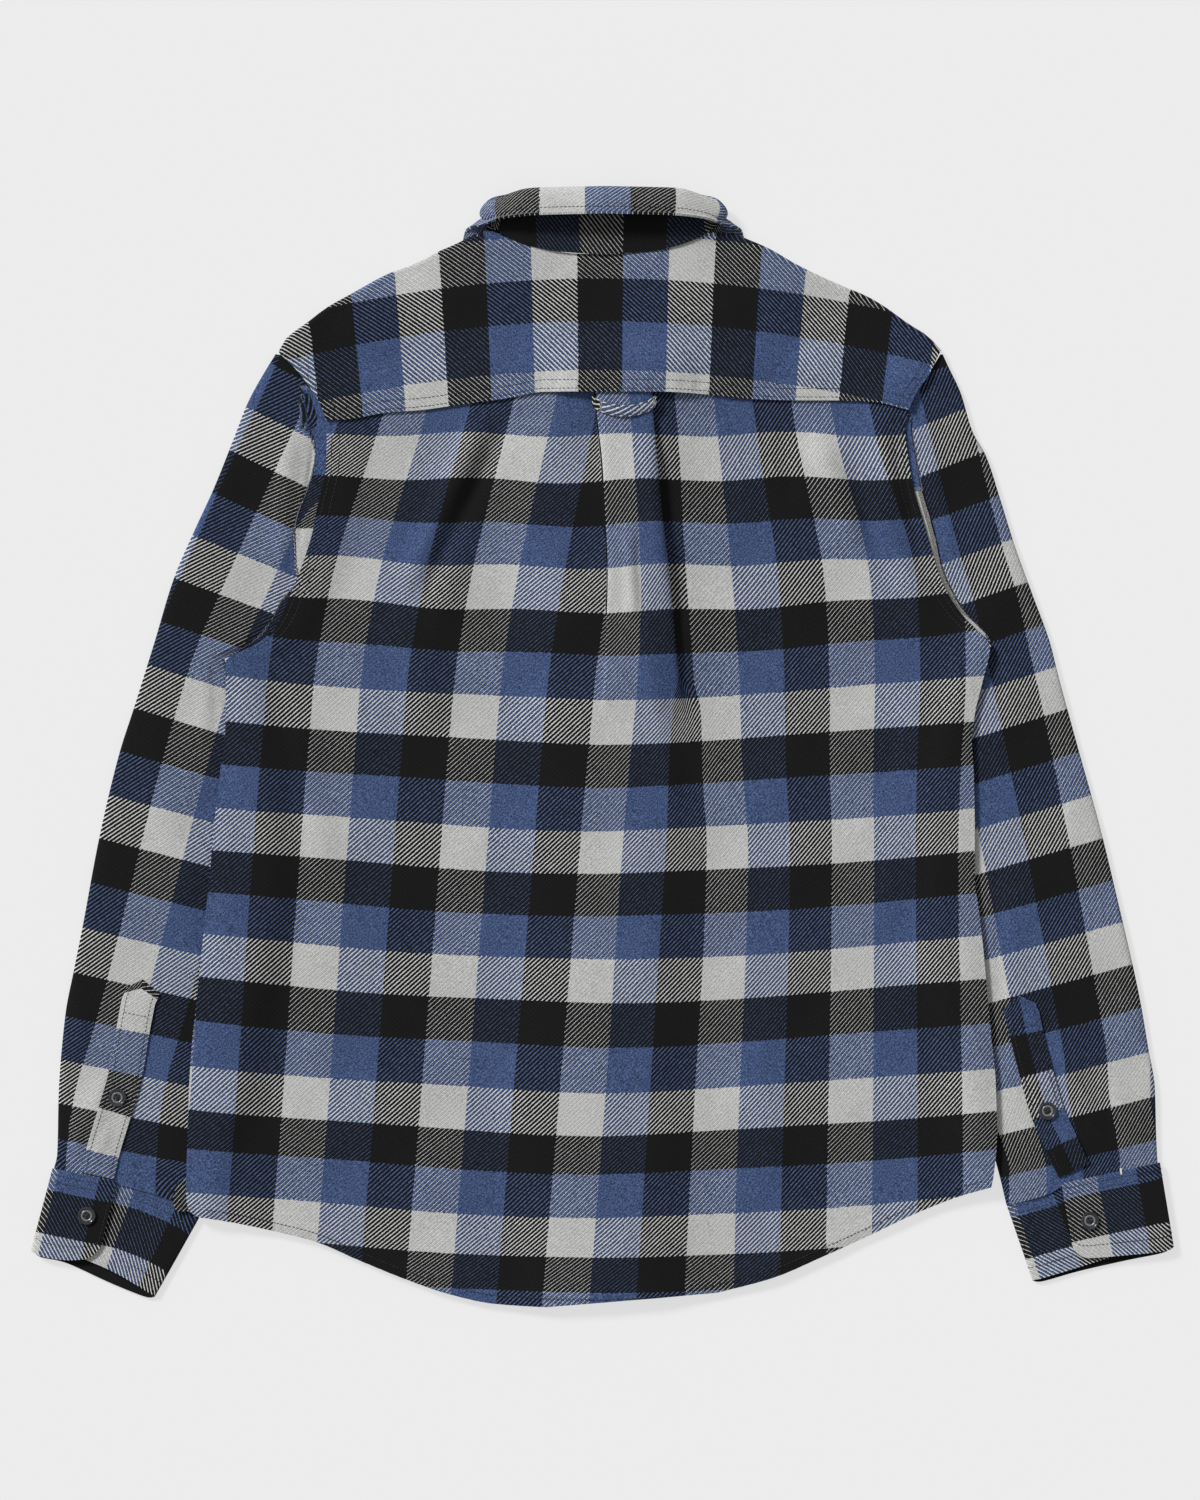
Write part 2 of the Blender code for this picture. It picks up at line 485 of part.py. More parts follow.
def back_panel():
    """The back, with its box pleat between the yoke seam and the middle of the back."""
    left_u, right_u = spread((0.13, 5), (PLEAT_FROM, 5)), 1.0 - spread((0.13, 5), (1 - PLEAT_TO, 5))[::-1]
    plan = back_plan(np.concatenate([left_u, right_u]), SIDE_ROWS)
    plan = np.concatenate([plan, plan[:, -1:] + np.array((0.0, YOKE_LAP))], axis=1)
    middle = len(left_u)
    y_rows = (plan[middle - 1, :, 1] + plan[middle, :, 1]) / 2
    depth = table_curve(PLEAT["y"], PLEAT["depth"], y_rows)
    edge_left = table_curve(PLEAT["y"], PLEAT["left"], y_rows)
    edge_right = table_curve(PLEAT["y"], PLEAT["right"], y_rows)
    t = np.linspace(0.0, 1.0, 6)[:, None]
    left_x, left_rise = pleat_edge(edge_left, -1.0, t, depth)
    right_x, right_rise = pleat_edge(edge_right, 1.0, t[::-1], depth)
    between = np.linspace(0.0, 1.0, 4)[1:-1, None]
    box_x = left_x[-1] * (1 - between) + right_x[0] * between
    box_rise = np.broadcast_to(PLEAT_RISE * depth, box_x.shape)
    x = np.concatenate([plan[:middle, :, 0], left_x, box_x, right_x, plan[middle:, :, 0]])
    along = (x[middle:-middle] - x[middle - 1]) / (x[-middle] - x[middle - 1])
    pleat_y = plan[middle - 1, :, 1] * (1 - along) + plan[middle, :, 1] * along
    y = np.concatenate([plan[:middle, :, 1], pleat_y, plan[middle:, :, 1]])
    z = back_under(x, y) + CLOTH / 2
    z[middle:-middle] += np.concatenate([left_rise, box_rise, right_rise])
    hem = np.arange(len(y_rows)) < 2
    thick = np.broadcast_to(CLOTH + HEM_EXTRA * hem, z.shape)
    return wall("back_panel", points(x, y, z + (thick - CLOTH) / 2), thick, flannel("back cloth"))


def sleeve_lap(y, top, foot):
    """How far the end of a sleeve runs in under the body; nothing at the shoulder and the underarm."""
    below_shoulder, above_underarm = smooth((top - y) / LAP_TOP_FADE), smooth((y - foot) / LAP_FOOT_FADE)
    return (ARMHOLE_LAP + END_SHORT) * below_shoulder * above_underarm - END_SHORT


def armhole_edge(side, y, beyond=0.0):
    """The end of a sleeve at height y, or the body's hidden edge beyond it."""
    table, sign, _ = SLEEVES[side]
    lap = sleeve_lap(y, table["armhole_y"][0], table["armhole_y"][-1])
    return pairs(table_curve(table["armhole_y"], table["armhole_x"], y) + sign * (lap + beyond),
                 y - 0.8 * beyond)


def shoulder(side, fraction):
    """Points along a shoulder fold from the sleeve to the neck, and the way out across it."""
    table = SHOULDER_LEFT if side == "left" else SHOULDER_RIGHT
    if side == "right":
        fraction = 1 - fraction
    x = table["x"][0] + (table["x"][-1] - table["x"][0]) * fraction
    run = np.array((table["x"][-1] - table["x"][0], table["y"][-1] - table["y"][0]), float)
    out = np.array((-run[1], run[0])) / np.hypot(*run)
    return pairs(x, table_curve(table["x"], table["y"], x)), out


def yoke_front_edge(side, fraction, depth):
    """A line on the front at a depth below the shoulder fold, kept clear of the sleeve."""
    line, out = shoulder(side, fraction)
    line = line - depth * out
    sign = SLEEVES[side][1]
    limit = armhole_edge(side, line[:, 1], EDGE_GAP)[:, 0]
    line[:, 0] = sign * np.maximum(sign * line[:, 0], sign * limit)
    return line


def yoke():
    """The yoke: over the shoulders it folds to the front, between them it ends at the neck."""
    steps, neck_steps, fold_steps = SHOULDER_STEPS, 12, 4
    fraction = np.linspace(0.0, 1.0, steps + 1)
    neck_x = np.linspace(NECK_SEAM["x"][0], NECK_SEAM["x"][-1], neck_steps + 1)[1:-1]
    neck = pairs(neck_x, table_curve(NECK_SEAM["x"], NECK_SEAM["y"], neck_x) - SEAM_GAP)
    line_left, out_left = shoulder("left", fraction)
    line_right, out_right = shoulder("right", 1 - fraction)
    top = np.concatenate([line_left, neck, line_right])
    out = np.concatenate([np.tile(out_left, (steps + 1, 1)), np.zeros_like(neck),
                          np.tile(out_right, (steps + 1, 1))])
    over = np.arange(len(top))
    folded = (over <= steps) | (over >= len(top) - steps - 1)
    u = (top[:, 0] - top[0, 0]) / (top[-1, 0] - top[0, 0])
    seam_x = YOKE_SEAM["x"][0] + (YOKE_SEAM["x"][-1] - YOKE_SEAM["x"][0]) * u
    bottom = pairs(seam_x, table_curve(YOKE_SEAM["x"], YOKE_SEAM["y"], seam_x))
    radius = 2.4
    start = top - (radius + CLOTH / 2) * out
    v = spread((0.2, 2), (1.0, 5))
    sides = []
    for side, end in (("left", 0), ("right", -1)):
        y = bottom[end, 1] + (top[end, 1] - bottom[end, 1]) * v
        table = SLEEVES[side][0]
        edge = pairs(table_curve(table["armhole_y"], table["armhole_x"], y), y)
        shift = (start[end] - edge[-1]) * v[:, None] + (bottom[end] - edge[0]) * (1 - v[:, None])
        sides.append(edge + shift)
    upper = net(bottom, start, sides[0], sides[1], u, v)
    z_upper = yoke_under(upper[..., 0], upper[..., 1]) + CLOTH / 2
    front_line = np.concatenate([yoke_front_edge("left", fraction, radius + CLOTH / 2), neck,
                                 yoke_front_edge("right", 1 - fraction, radius + CLOTH / 2)])
    front_end = np.concatenate([yoke_front_edge("left", fraction, YOKE_FRONT), neck,
                                yoke_front_edge("right", 1 - fraction, YOKE_FRONT)])
    z_top, z_low = z_upper[:, -1], front_under(front_line[:, 0], front_line[:, 1]) + CLOTH / 2
    half, level = (z_top - z_low) / 2, (z_top + z_low) / 2
    rows = [points(upper[..., 0], upper[..., 1], z_upper)]
    for k in range(1, fold_steps):
        turn = np.pi * k / fold_steps
        base = start * (1 + np.cos(turn)) / 2 + front_line * (1 - np.cos(turn)) / 2
        place = base + out * radius * np.sin(turn)
        rows.append(points(place[:, 0], place[:, 1], level + half * np.cos(turn))[:, None])
    for share in (0.0, 0.5, 1.0):
        place = front_line * (1 - share) + front_end * share
        low = front_under(place[:, 0], place[:, 1]) + CLOTH / 2
        rows.append(points(place[:, 0], place[:, 1], low)[:, None])
    grid = np.concatenate(rows, axis=1)
    last = len(v) - 1
    for k in range(last + 1, grid.shape[1]):
        grid[~folded, k] = grid[~folded, last] + (k - last) * np.array((0.0, 3.0, 0.0))
    keep = np.ones((grid.shape[0] - 1, grid.shape[1] - 1), bool)
    keep[:, last:] = (folded[:-1] & folded[1:])[:, None]
    return wall("yoke", grid, CLOTH, flannel("yoke cloth"), keep=keep)


def neckline(x):
    """The fronts' neck edge, just outside the seam of the collar stand."""
    foot = table_curve(COLLAR["seam_x"][:-5:-1], COLLAR["seam_y"][:-5:-1], np.abs(x - COLLAR_X))
    return foot - 1.4


def front(side):
    """A front: from its side seam to just past the centre, and from the hem to shoulder and neckline."""
    sign = SLEEVES[side][1]
    table = LEFT_EDGE if side == "left" else RIGHT_EDGE
    centre_x = BAND_X + sign * BAND_WIDTH / 2
    columns = spread((0.22, 5), (0.76, 5), (1.0, 4))
    seam_line = yoke_front_edge(side, np.linspace(0.0, 1.0, SHOULDER_STEPS + 1), YOKE_FRONT + SEAM_GAP)
    neck_x = np.linspace(seam_line[-1, 0], centre_x, len(columns) - SHOULDER_STEPS)[1:]
    neck = pairs(neck_x, neckline(neck_x))
    top = np.concatenate([seam_line, neck])
    side_y = table["y"][0] + (table["y"][-1] - table["y"][0]) * SIDE_ROWS
    side_y = np.concatenate([side_y, top[:1, 1]])
    edge = pairs(table_curve(table["y"], table["x"], side_y), side_y)
    above = side_y > side_y[0] + (table["y"][-1] - table["y"][0]) * UNDERARM + 0.5
    edge[above] = armhole_edge(side, side_y[above], EDGE_GAP)
    edge[-1] = top[0]
    edge[0, 1] += FRONT_SHORT
    hem_x = edge[0, 0] + (centre_x - edge[0, 0]) * columns
    bottom = pairs(hem_x, table_curve(HEM["x"], HEM["y"], hem_x) + FRONT_SHORT)
    bottom[0] = edge[0]
    v = (edge[:, 1] - edge[0, 1]) / (edge[-1, 1] - edge[0, 1])
    centre = pairs(centre_x, bottom[-1, 1] + (top[-1, 1] - bottom[-1, 1]) * v)
    plan = net(bottom, top, edge, centre, columns, v, reach=0.28)
    x, y = plan[..., 0], plan[..., 1]
    z = front_under(x, y) + CLOTH / 2
    if side == "right":
        z = z + overlap_step(x, y)
    return wall("front_" + side, points(x, y, z), CLOTH, flannel("front cloth " + side))


def front_band():
    """The button band, a strip on the outer face of the front that overlaps."""
    across = np.linspace(-0.5, 0.5, 4)[:, None] * BAND_WIDTH + BAND_X
    foot = table_curve(HEM["x"], HEM["y"], BAND_X) + FRONT_SHORT + 1.0
    y = np.linspace(foot, neckline(BAND_X) - 2.0, 18)[None, :]
    x, y = np.broadcast_arrays(across, y)
    z = front_under(x, y) - LAYER_GAP - CLOTH / 2
    return wall("front_band", points(x, y, z), CLOTH, flannel("band cloth"))


# --- collar ------------------------------------------------------------------------------------------
def collar_row(name, at, mirror):
    """One column of the collar's table, read round the neck; mirror is -1 on the left half."""
    values = row_curve(COLLAR[name], at)
    return values * mirror if name.endswith("_x") else values


def collar_stations(end, count):
    """Places round the neck from the front left end over the back to the front right end."""
    half = np.linspace(0.0, end, count)
    at = np.concatenate([half[::-1], half[1:]])
    mirror = np.concatenate([-np.ones(count), np.ones(count - 1)])
    return at, mirror


def collar_point(part, at, mirror):
    return points(COLLAR_X + collar_row(part + "_x", at, mirror), collar_row(part + "_y", at, mirror),
                  collar_row(part + "_z", at, mirror))


def collar_stand():
    """The stand: a band round the neck, between the neck seam and the root of the leaf."""
    at, mirror = collar_stations(0.99, 19)
    seam, top = collar_point("seam", at, mirror), collar_point("top", at, mirror)
    t = np.linspace(0.0, 1.0, 3)[None, :, None]
    grid = seam[:, None] * (1 - t) + top[:, None] * t
    return wall("collar_stand", grid, BAND_CLOTH, finish("stand cloth", COLOURS["band"], 0.9))


def collar_leaf():
    """The leaf: from the stand it rolls over, half an ellipse, and runs on to its outer edge."""
    at, mirror = collar_stations(0.975, 20)
    root, edge = collar_point("root", at, mirror), collar_point("edge", at, mirror)
    turn = points(collar_row("turn_x", at, mirror), collar_row("turn_y", at, mirror), 0.0)
    turn /= np.linalg.norm(turn, axis=1, keepdims=True)
    roll = (row_curve(COLLAR["roll"], at) - BAND_CLOTH / 2)[:, None]
    share = row_curve(COLLAR["share"], at)[:, None]
    foot = root + (edge - root) * share
    foot[:, 2] = root[:, 2] + (edge[:, 2] - root[:, 2]) * row_curve(COLLAR["drop"], at)
    rows = []
    for turn_at in np.linspace(0.0, np.pi, 8):
        middle, reach = (root + foot) / 2, (root - foot) / 2
        rows.append(middle + reach * np.cos(turn_at) + turn * roll * np.sin(turn_at))
    for t in (0.34, 0.67, 1.0):
        rows.append(foot + (edge - foot) * t)
    grid = np.stack(rows, axis=1)
    grid[..., 2] = np.maximum(grid[..., 2], BAND_CLOTH / 2 + 0.05)
    return wall("collar_leaf", grid, BAND_CLOTH, finish("leaf cloth", COLOURS["band"], 0.9))


# --- sleeves -----------------------------------------------------------------------------------------
def sleeve_edges(side, v):
    """The two long edges of a sleeve laid flat; the inner one runs down the armhole to the underarm,
    and then down the fold that lies under the body."""
    table, sign, _ = SLEEVES[side]
    shoulder_y, underarm_y = table["armhole_y"][0], table["armhole_y"][-1]
    outer_y = table["outer_y"][0] + (table["outer_y"][-1] - table["outer_y"][0]) * v
    outer = pairs(table_curve(table["outer_y"], table["outer_x"], outer_y) + sign * CLOTH / 2, outer_y)
    armhole = armhole_edge(side, shoulder_y + (underarm_y - shoulder_y) * np.minimum(v / SLEEVE_CAP, 1.0))
    fold_v = np.clip((v - SLEEVE_CAP) / (1 - SLEEVE_CAP), 0.0, 1.0)
    fold_y = table["inner_y"][0] + (table["inner_y"][-1] - table["inner_y"][0]) * fold_v
    fold = pairs(table_curve(table["inner_y"], table["inner_x"], fold_y), fold_y)
    fold += (armhole_edge(side, underarm_y) - fold[0]) * smooth(1 - 4 * fold_v)[:, None]
    inner = np.where((v <= SLEEVE_CAP)[:, None], armhole, fold - sign * np.array((CLOTH / 2, 0.0)))
    return outer, inner


def sleeve_plan(side, p, v):
    """A sleeve laid flat: p runs from its outer to its inner edge, v from the shoulder to the cuff,
    where its rows bend to follow the cuff seam."""
    table = SLEEVES[side][0]
    outer, inner = sleeve_edges(side, v)
    p = p[:, None, None]
    plan = outer[None] * (1 - p) + inner[None] * p
    cuff = table_curve(table["cuff_x"], table["cuff_y"], plan[:, -1, 0]) + SEAM_GAP
    near = smooth((v - 0.8) / 0.2)
    plan[..., 1] += (cuff - plan[:, -1, 1])[:, None] * near[None]
    return plan


def sleeve(side):
    """A sleeve as a flattened tube: its lower layer flat, its upper layer lofted, round at the folds.
    Beside the armhole the two layers stay apart, because there the tube is open."""
    sign, steps = SLEEVES[side][1], 10
    p = (1 - np.cos(np.pi * np.arange(steps + 1) / steps)) / 2
    v = spread((0.01, 1), (0.05, 1), (0.26, 4), (SLEEVE_CAP, 6), (0.88, 8), (1.0, 3))[1:]
    plan = sleeve_plan(side, p, v)
    x, y = plan[..., 0], plan[..., 1]
    at_armhole = smooth((SLEEVE_CAP - v) / 0.06)[None] * (p > 0.5)[:, None]
    rounding = (1 - np.abs(2 * p - 1) ** 6)[:, None] ** (1 / 6)
    rounding[-1] = 0.55
    full = np.maximum(rounding, at_armhole)
    low = CLOTH / 2
    high = sleeve_top(side, x, y)
    level = (low + SLEEVE_END_LOFT - CLOTH / 2) / 2
    upper = points(x, y, level + (high - level) * full)
    lower = points(x, y, level + (low - level) * full)
    closing = 0.5 * (upper[-1:] + lower[-1:])
    closing[0, :, 0] += sign * FOLD_BULGE * (1 - at_armhole[-1])
    ring = np.concatenate([upper, closing, lower[:0:-1]])
    keep = np.ones((len(ring), len(v) - 1), bool)
    keep[len(upper) - 1:len(upper) + 1] = v[:-1] > SLEEVE_CAP - 1e-6
    return wall("sleeve_" + side, ring, CLOTH, flannel("sleeve cloth " + side), keep=keep, around=True)


def placket_plan(table, foot, across, along):
    """A sleeve placket laid flat: a strip along its centre line with a pointed upper end."""
    y = table["y"][0] + (foot - table["y"][0]) * along
    x = table_curve(table["y"], table["x"], y)
    run = np.stack([np.gradient(x), np.gradient(y)], -1)
    side = np.stack([-run[:, 1], run[:, 0]], -1) / np.linalg.norm(run, axis=1, keepdims=True)
    plan = pairs(x, y)[None] + side[None] * across[:, None, None] * PLACKET_WIDTH
    plan[..., 1] -= PLACKET_POINT * np.abs(2 * across)[:, None] * (1 - smooth(along * 8))[None]
    return plan


def placket(side):
    """The strip that binds a sleeve's opening, on the sleeve's upper layer."""
    table = PLACKET_LEFT if side == "left" else PLACKET_RIGHT
    plan = placket_plan(table, table["y"][-1] + 1.0, np.linspace(-0.5, 0.5, 5), spread((0.05, 2), (1.0, 9)))
    x, y = plan[..., 0], plan[..., 1]
    z = sleeve_top(side, x, y) + CLOTH + LAYER_GAP
    return wall("placket_" + side, points(x, y, z), CLOTH, flannel("placket cloth " + side))


def cuff(side):
    """A cuff: one band wrapped round, whose flap, with one round corner, lies over its other end."""
    table = CUFF_LEFT if side == "left" else CUFF_RIGHT
    s = spread((0.03, 3), (0.26, 7), (0.48, 5), (0.80, 8), (1.0, 4))
    seam = points(*(row_curve(table[key], s) for key in ("seam_x", "seam_y", "z")))
    edge = points(*(row_curve(table[key], s) for key in ("edge_x", "edge_y", "z")))
    t = np.linspace(0.0, 1.0, 6)
    run = np.concatenate([[0.0], np.cumsum(np.linalg.norm(np.diff(edge, axis=0), axis=1))])
    short = np.clip(1 - run / CUFF_CORNER, 0.0, 1.0)
    depth = np.linalg.norm(edge - seam, axis=1)
    reach = 1 - CUFF_CORNER * (1 - np.sqrt(1 - short ** 2)) / depth
    grid = seam[:, None] + (edge - seam)[:, None] * (t[None] * reach[:, None])[..., None]
    return wall("cuff_" + side, grid, BAND_CLOTH, finish("cuff cloth " + side, COLOURS["band"], 0.9))


# --- small pieces -----------------------------------------------------------------------------------
def locker_loop():
    """The loop of cloth at the top of the pleat, hanging below the yoke seam between its two ends."""
    t = np.linspace(0.0, 1.0, 9)
    sag = np.sin(np.pi * t) ** 0.6
    rise = LOOP_RISE * np.sin(np.pi * t) ** 3
    top = LOOP_Y - LOOP_SAG * sag
    y = top[:, None] - np.array((0.0, LOOP_WIDTH))[None]
    x = (LOOP_X + LOOP_LENGTH * t)[:, None] + np.zeros_like(y)
    z = back_under(x, y) + CLOTH + over_pleat(x, y) + LAYER_GAP + CLOTH / 2 + rise[:, None]
    return wall("locker_loop", points(x, y, z), CLOTH, flannel("loop cloth"))


def button(name, x, y, bottom):
    """A round button with a raised rim and a sunk middle."""
    radius = BUTTON_DIAMETER / 2
    profile = ((0.0, 0.0), (radius * 0.85, 0.0), (radius, 0.6), (radius * 0.92, BUTTON_THICK),
               (radius * 0.72, BUTTON_THICK), (radius * 0.6, 1.3), (0.0, 1.3))
    shape = bmesh.new()
    across, along = x - CENTRE_X, y - CENTRE_Y
    ring = [shape.verts.new(((across + r) * MM, along * MM, (bottom + z) * MM)) for r, z in profile]
    edges = [shape.edges.new(pair) for pair in zip(ring, ring[1:])]
    centre = (across * MM, along * MM, 0.0)
    bmesh.ops.spin(shape, geom=ring + edges, cent=centre, axis=(0, 0, 1), angle=2 * np.pi,
                   steps=12, use_merge=True)
    bmesh.ops.remove_doubles(shape, verts=shape.verts, dist=1e-6)
    bmesh.ops.recalc_face_normals(shape, faces=shape.faces)
    mesh = bpy.data.meshes.new(name)
    shape.to_mesh(mesh)
    shape.free()
    mesh.materials.append(finish(name, COLOURS["button"], 0.35))
    piece = bpy.data.objects.new(name, mesh)
    bpy.context.scene.collection.objects.link(piece)
    return piece


def buttons():
    """Buttons on the band, the collar stand, the sleeve plackets and the cuffs."""
    for k in range(FRONT_BUTTONS):
        y = FRONT_BUTTON_TOP + (FRONT_BUTTON_LOW - FRONT_BUTTON_TOP) * k / (FRONT_BUTTONS - 1)
        button(f"button_front_{k + 1}", BAND_X, y, BUTTON_LIFT)
    button("button_collar", COLLAR_X, COLLAR_BUTTON_Y, BUTTON_LIFT)
    for side, x, y in PLACKET_BUTTONS:
        top = sleeve_top(side, np.array([x]), np.array([y]))[0] + 1.5 * CLOTH + 2.6 * LAYER_GAP
        button("button_placket_" + side, x, y, float(top))
    for side, x, y in CUFF_BUTTONS:
        button("button_cuff_" + side, x, y, CUFF_LEFT["z"][0] + BAND_CLOTH / 2 + LAYER_GAP)


def build():
    """Clear the scene and make every piece."""
    for old in list(bpy.data.objects):
        bpy.data.objects.remove(old, do_unlink=True)
    back_panel()
    yoke()
    front("left")
    front("right")
    front_band()
    collar_stand()
    collar_leaf()
    for side in ("left", "right"):
        sleeve(side)
        placket(side)
        cuff(side)
    locker_loop()
    buttons()


build()
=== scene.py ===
# %% [markdown]
# # A check flannel shirt, laid flat with its back up
#
# The solids of the shirt are loaded as a fixed frame.  They have the right sizes but plain walls.  Here
# each cloth piece is made again on the same outlines with a finer net, with its small folds and puckers,
# and the yarn-dyed check is worked out by the material from two numbers that every point of cloth
# carries: how many stripes it lies across the warp, and how many along it.

# %% Load the frame
import math

import bpy
import numpy as np
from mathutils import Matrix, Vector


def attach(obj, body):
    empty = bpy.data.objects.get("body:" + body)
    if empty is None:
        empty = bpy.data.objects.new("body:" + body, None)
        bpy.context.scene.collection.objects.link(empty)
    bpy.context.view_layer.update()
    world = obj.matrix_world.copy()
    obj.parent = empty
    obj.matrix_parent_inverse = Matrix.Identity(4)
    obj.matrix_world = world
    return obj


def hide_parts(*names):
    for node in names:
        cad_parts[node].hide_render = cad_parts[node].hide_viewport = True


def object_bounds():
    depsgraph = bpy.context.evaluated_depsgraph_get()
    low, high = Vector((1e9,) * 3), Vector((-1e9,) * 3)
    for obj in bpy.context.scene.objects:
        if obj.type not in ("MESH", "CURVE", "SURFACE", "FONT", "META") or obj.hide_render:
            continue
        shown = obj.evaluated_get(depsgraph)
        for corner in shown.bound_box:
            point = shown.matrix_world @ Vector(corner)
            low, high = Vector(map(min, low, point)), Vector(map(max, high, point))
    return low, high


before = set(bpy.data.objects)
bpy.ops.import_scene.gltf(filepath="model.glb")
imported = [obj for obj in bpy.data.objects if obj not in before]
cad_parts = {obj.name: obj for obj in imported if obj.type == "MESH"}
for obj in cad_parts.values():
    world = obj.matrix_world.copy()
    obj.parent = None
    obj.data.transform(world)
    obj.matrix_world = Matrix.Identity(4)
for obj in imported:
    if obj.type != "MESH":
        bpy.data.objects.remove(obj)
solid_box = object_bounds()
corners_mm = [[round(v * 1000, 1) for v in corner] for corner in solid_box]
print(len(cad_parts), "solids, box in mm:", corners_mm)

# %% [markdown]
# ## Sizes
#
# Everything is worked out in millimetres in the plan of the laid-out shirt: X across it, Y from hem to
# collar, Z up.  A plan is easy to read off a real shirt with a ruler.  The middle of the plan is taken
# off only when a mesh is made, so that the shirt sits where its solids sit.

# %% Driving sizes in millimetres
MM = 0.001
CENTRE_X, CENTRE_Y = 1.305, -0.508
CLOTH = 1.1  # one layer of brushed flannel
BAND_CLOTH = 1.8  # collar and cuffs: two layers and an interlining
LAYER_GAP, LAP_GAP, SEAM_GAP, EDGE_GAP, AIR = 0.3, 1.0, 0.4, 2.2, 1.7
SLEEVE_LOFT, SLEEVE_END_LOFT, SLEEVE_CAP = 5.2, 4.4, 0.354
ARMHOLE_LAP, YOKE_LAP, YOKE_FRONT = 5.0, 10.0, 38.0
BAND_WIDTH, BAND_LIFT, BAND_X = 35.0, 2.1, 3.0
FRONT_SHORT, LEAF_LIFT = 5.0, 3.1
PLEAT_RISE, PLEAT_TUCK, PLEAT_FLANK, PLEAT_GAP = 3.4, 4.2, 5.0, 1.3
CHECK = 32.0  # one stripe of the check

# %% Outlines of the pieces, one row for each place where an edge changes
LEFT_EDGE = dict(
    y=(-338, -333, -321, -282, -231, -179, -140, -93, -49, -14, 18, 62,
       70, 76, 86, 109, 138, 155, 171, 187, 200, 223, 235),
    x=(-290.5, -296, -298, -297, -295, -290, -286, -281, -277, -273, -269.5, -269.5,
       -255, -244, -234, -223, -212, -207, -204, -200, -197.5, -197, -198))
RIGHT_EDGE = dict(
    y=(-317, -306, -280, -240, -210, -177, -144, -118, -94, -59, -23, 3, 23, 44, 72,
       80, 96, 120, 142, 163, 187, 210, 228, 240),
    x=(281, 283, 285, 284, 281, 278, 275, 272, 269, 269, 268.5, 267, 269, 274, 280,
       274, 259, 245, 238, 232, 225, 221, 219, 221))
UNDERARM = 0.698  # where the underarm lies between hem and yoke
HEM = dict(
    x=(-290.5, -266, -238, -206, -173, -141, -109, -76, -44, 0, 23, 54, 88, 125, 160, 193, 220, 241,
       260, 281),
    y=(-338, -342, -348, -356, -370, -383, -394, -401, -403, -404, -403, -400, -392, -382, -367,
       -352, -339, -330, -323, -317))
YOKE_SEAM = dict(
    x=(-198, -186, -155, -129, -101, -70, -39, 0, 40, 78, 109, 140, 164, 195, 222),
    y=(235, 235, 240, 242, 246, 250, 255, 255, 255, 253, 250, 249, 249, 248, 242))
SHOULDER_LEFT = dict(
    x=(-232, -229, -210, -197, -181, -149, -136, -118, -101, -90),
    y=(285, 290.5, 306, 316, 325, 342, 346.5, 355.5, 363, 369))
SHOULDER_RIGHT = dict(
    x=(94, 104, 122, 141, 173, 192, 204, 222, 236, 245),
    y=(370, 365.8, 358, 347, 332, 324, 317, 304, 295, 285))
NECK_SEAM = dict(
    x=(-90, -79, -69, -50, -34, -19, 2, 19, 34, 50, 66, 78, 94),
    y=(370, 371, 367, 360, 357, 355, 354.5, 355, 357, 360, 365, 370, 370))
SLEEVE_LEFT = dict(
    outer=dict(y=(285, 269, 247, 224, 184, 158, 121, 75, 27, -4, -67, -131, -161, -192, -250, -290, -303),
               x=(-232, -242, -254, -263, -279, -291, -307, -321, -336, -346, -361, -373, -379, -385,
                  -390, -391, -394)),
    inner=dict(y=(63, 40, 0, -60, -130, -200, -270, -320, -339),
               x=(-270, -263, -253, -247, -250, -262, -276, -286, -290)),
    armhole=dict(y=(285, 273, 260, 247, 236, *LEFT_EDGE["y"][-2:-12:-1], 63),
                 x=(-232, -220, -210, -202, -198, *LEFT_EDGE["x"][-2:-12:-1], -270)),
    cuff=dict(x=(-394, -370, -349, -332, -304, -290), y=(-303, -307.5, -312, -316, -325.5, -337)))
SLEEVE_RIGHT = dict(
    outer=dict(y=(285, 274, 255, 226, 210, 177, 145, 109, 73, 57, 5, -60, -114, -157, -186, -215, -244,
                  -279, -298),
               x=(245, 250, 259, 268, 277, 288, 298, 311, 324, 328, 342, 360, 373, 383, 389, 394, 399,
                  400, 401)),
    inner=dict(y=(72, 45, 0, -60, -130, -200, -270, -310, -327),
               x=(280, 271, 257, 251, 253, 263, 278, 289, 293)),
    armhole=dict(y=(285, 269, 254, 242, *RIGHT_EDGE["y"][-2:-11:-1]),
                 x=(245, 237, 227, 222, *RIGHT_EDGE["x"][-2:-11:-1])),
    cuff=dict(x=(401, 382, 354, 332, 323, 293), y=(-298, -301.5, -308, -313.5, -318.5, -327)))
CUFF_Z = (5.6, 5.5, 5.1, 3.2, 1.3, 0.95, 0.95, 1.05, 2.05, 3.1, 3.2, 3.2)
CUFF_LEFT = dict(
    seam_x=(-348, -370, -388, -393.5, -389, -370, -345, -304, -290.2, -296, -330, -366),
    seam_y=(-313, -308.5, -304.6, -303.8, -305, -309.4, -314.2, -328, -339, -332.5, -317.5, -310),
    edge_x=(-361.5, -384, -403, -409, -403, -384, -352, -328, -321.5, -326, -352, -384),
    edge_y=(-368, -369.5, -366.5, -362.5, -367.5, -372, -386.5, -396, -395.6, -392.5, -377.3, -364),
    z=CUFF_Z,
    warp=(1.41, 0.68, 0.05, -0.15, -0.3, -1.05, -2.1, -3.8, -4.5, -4.73, -5.85, -7.05))
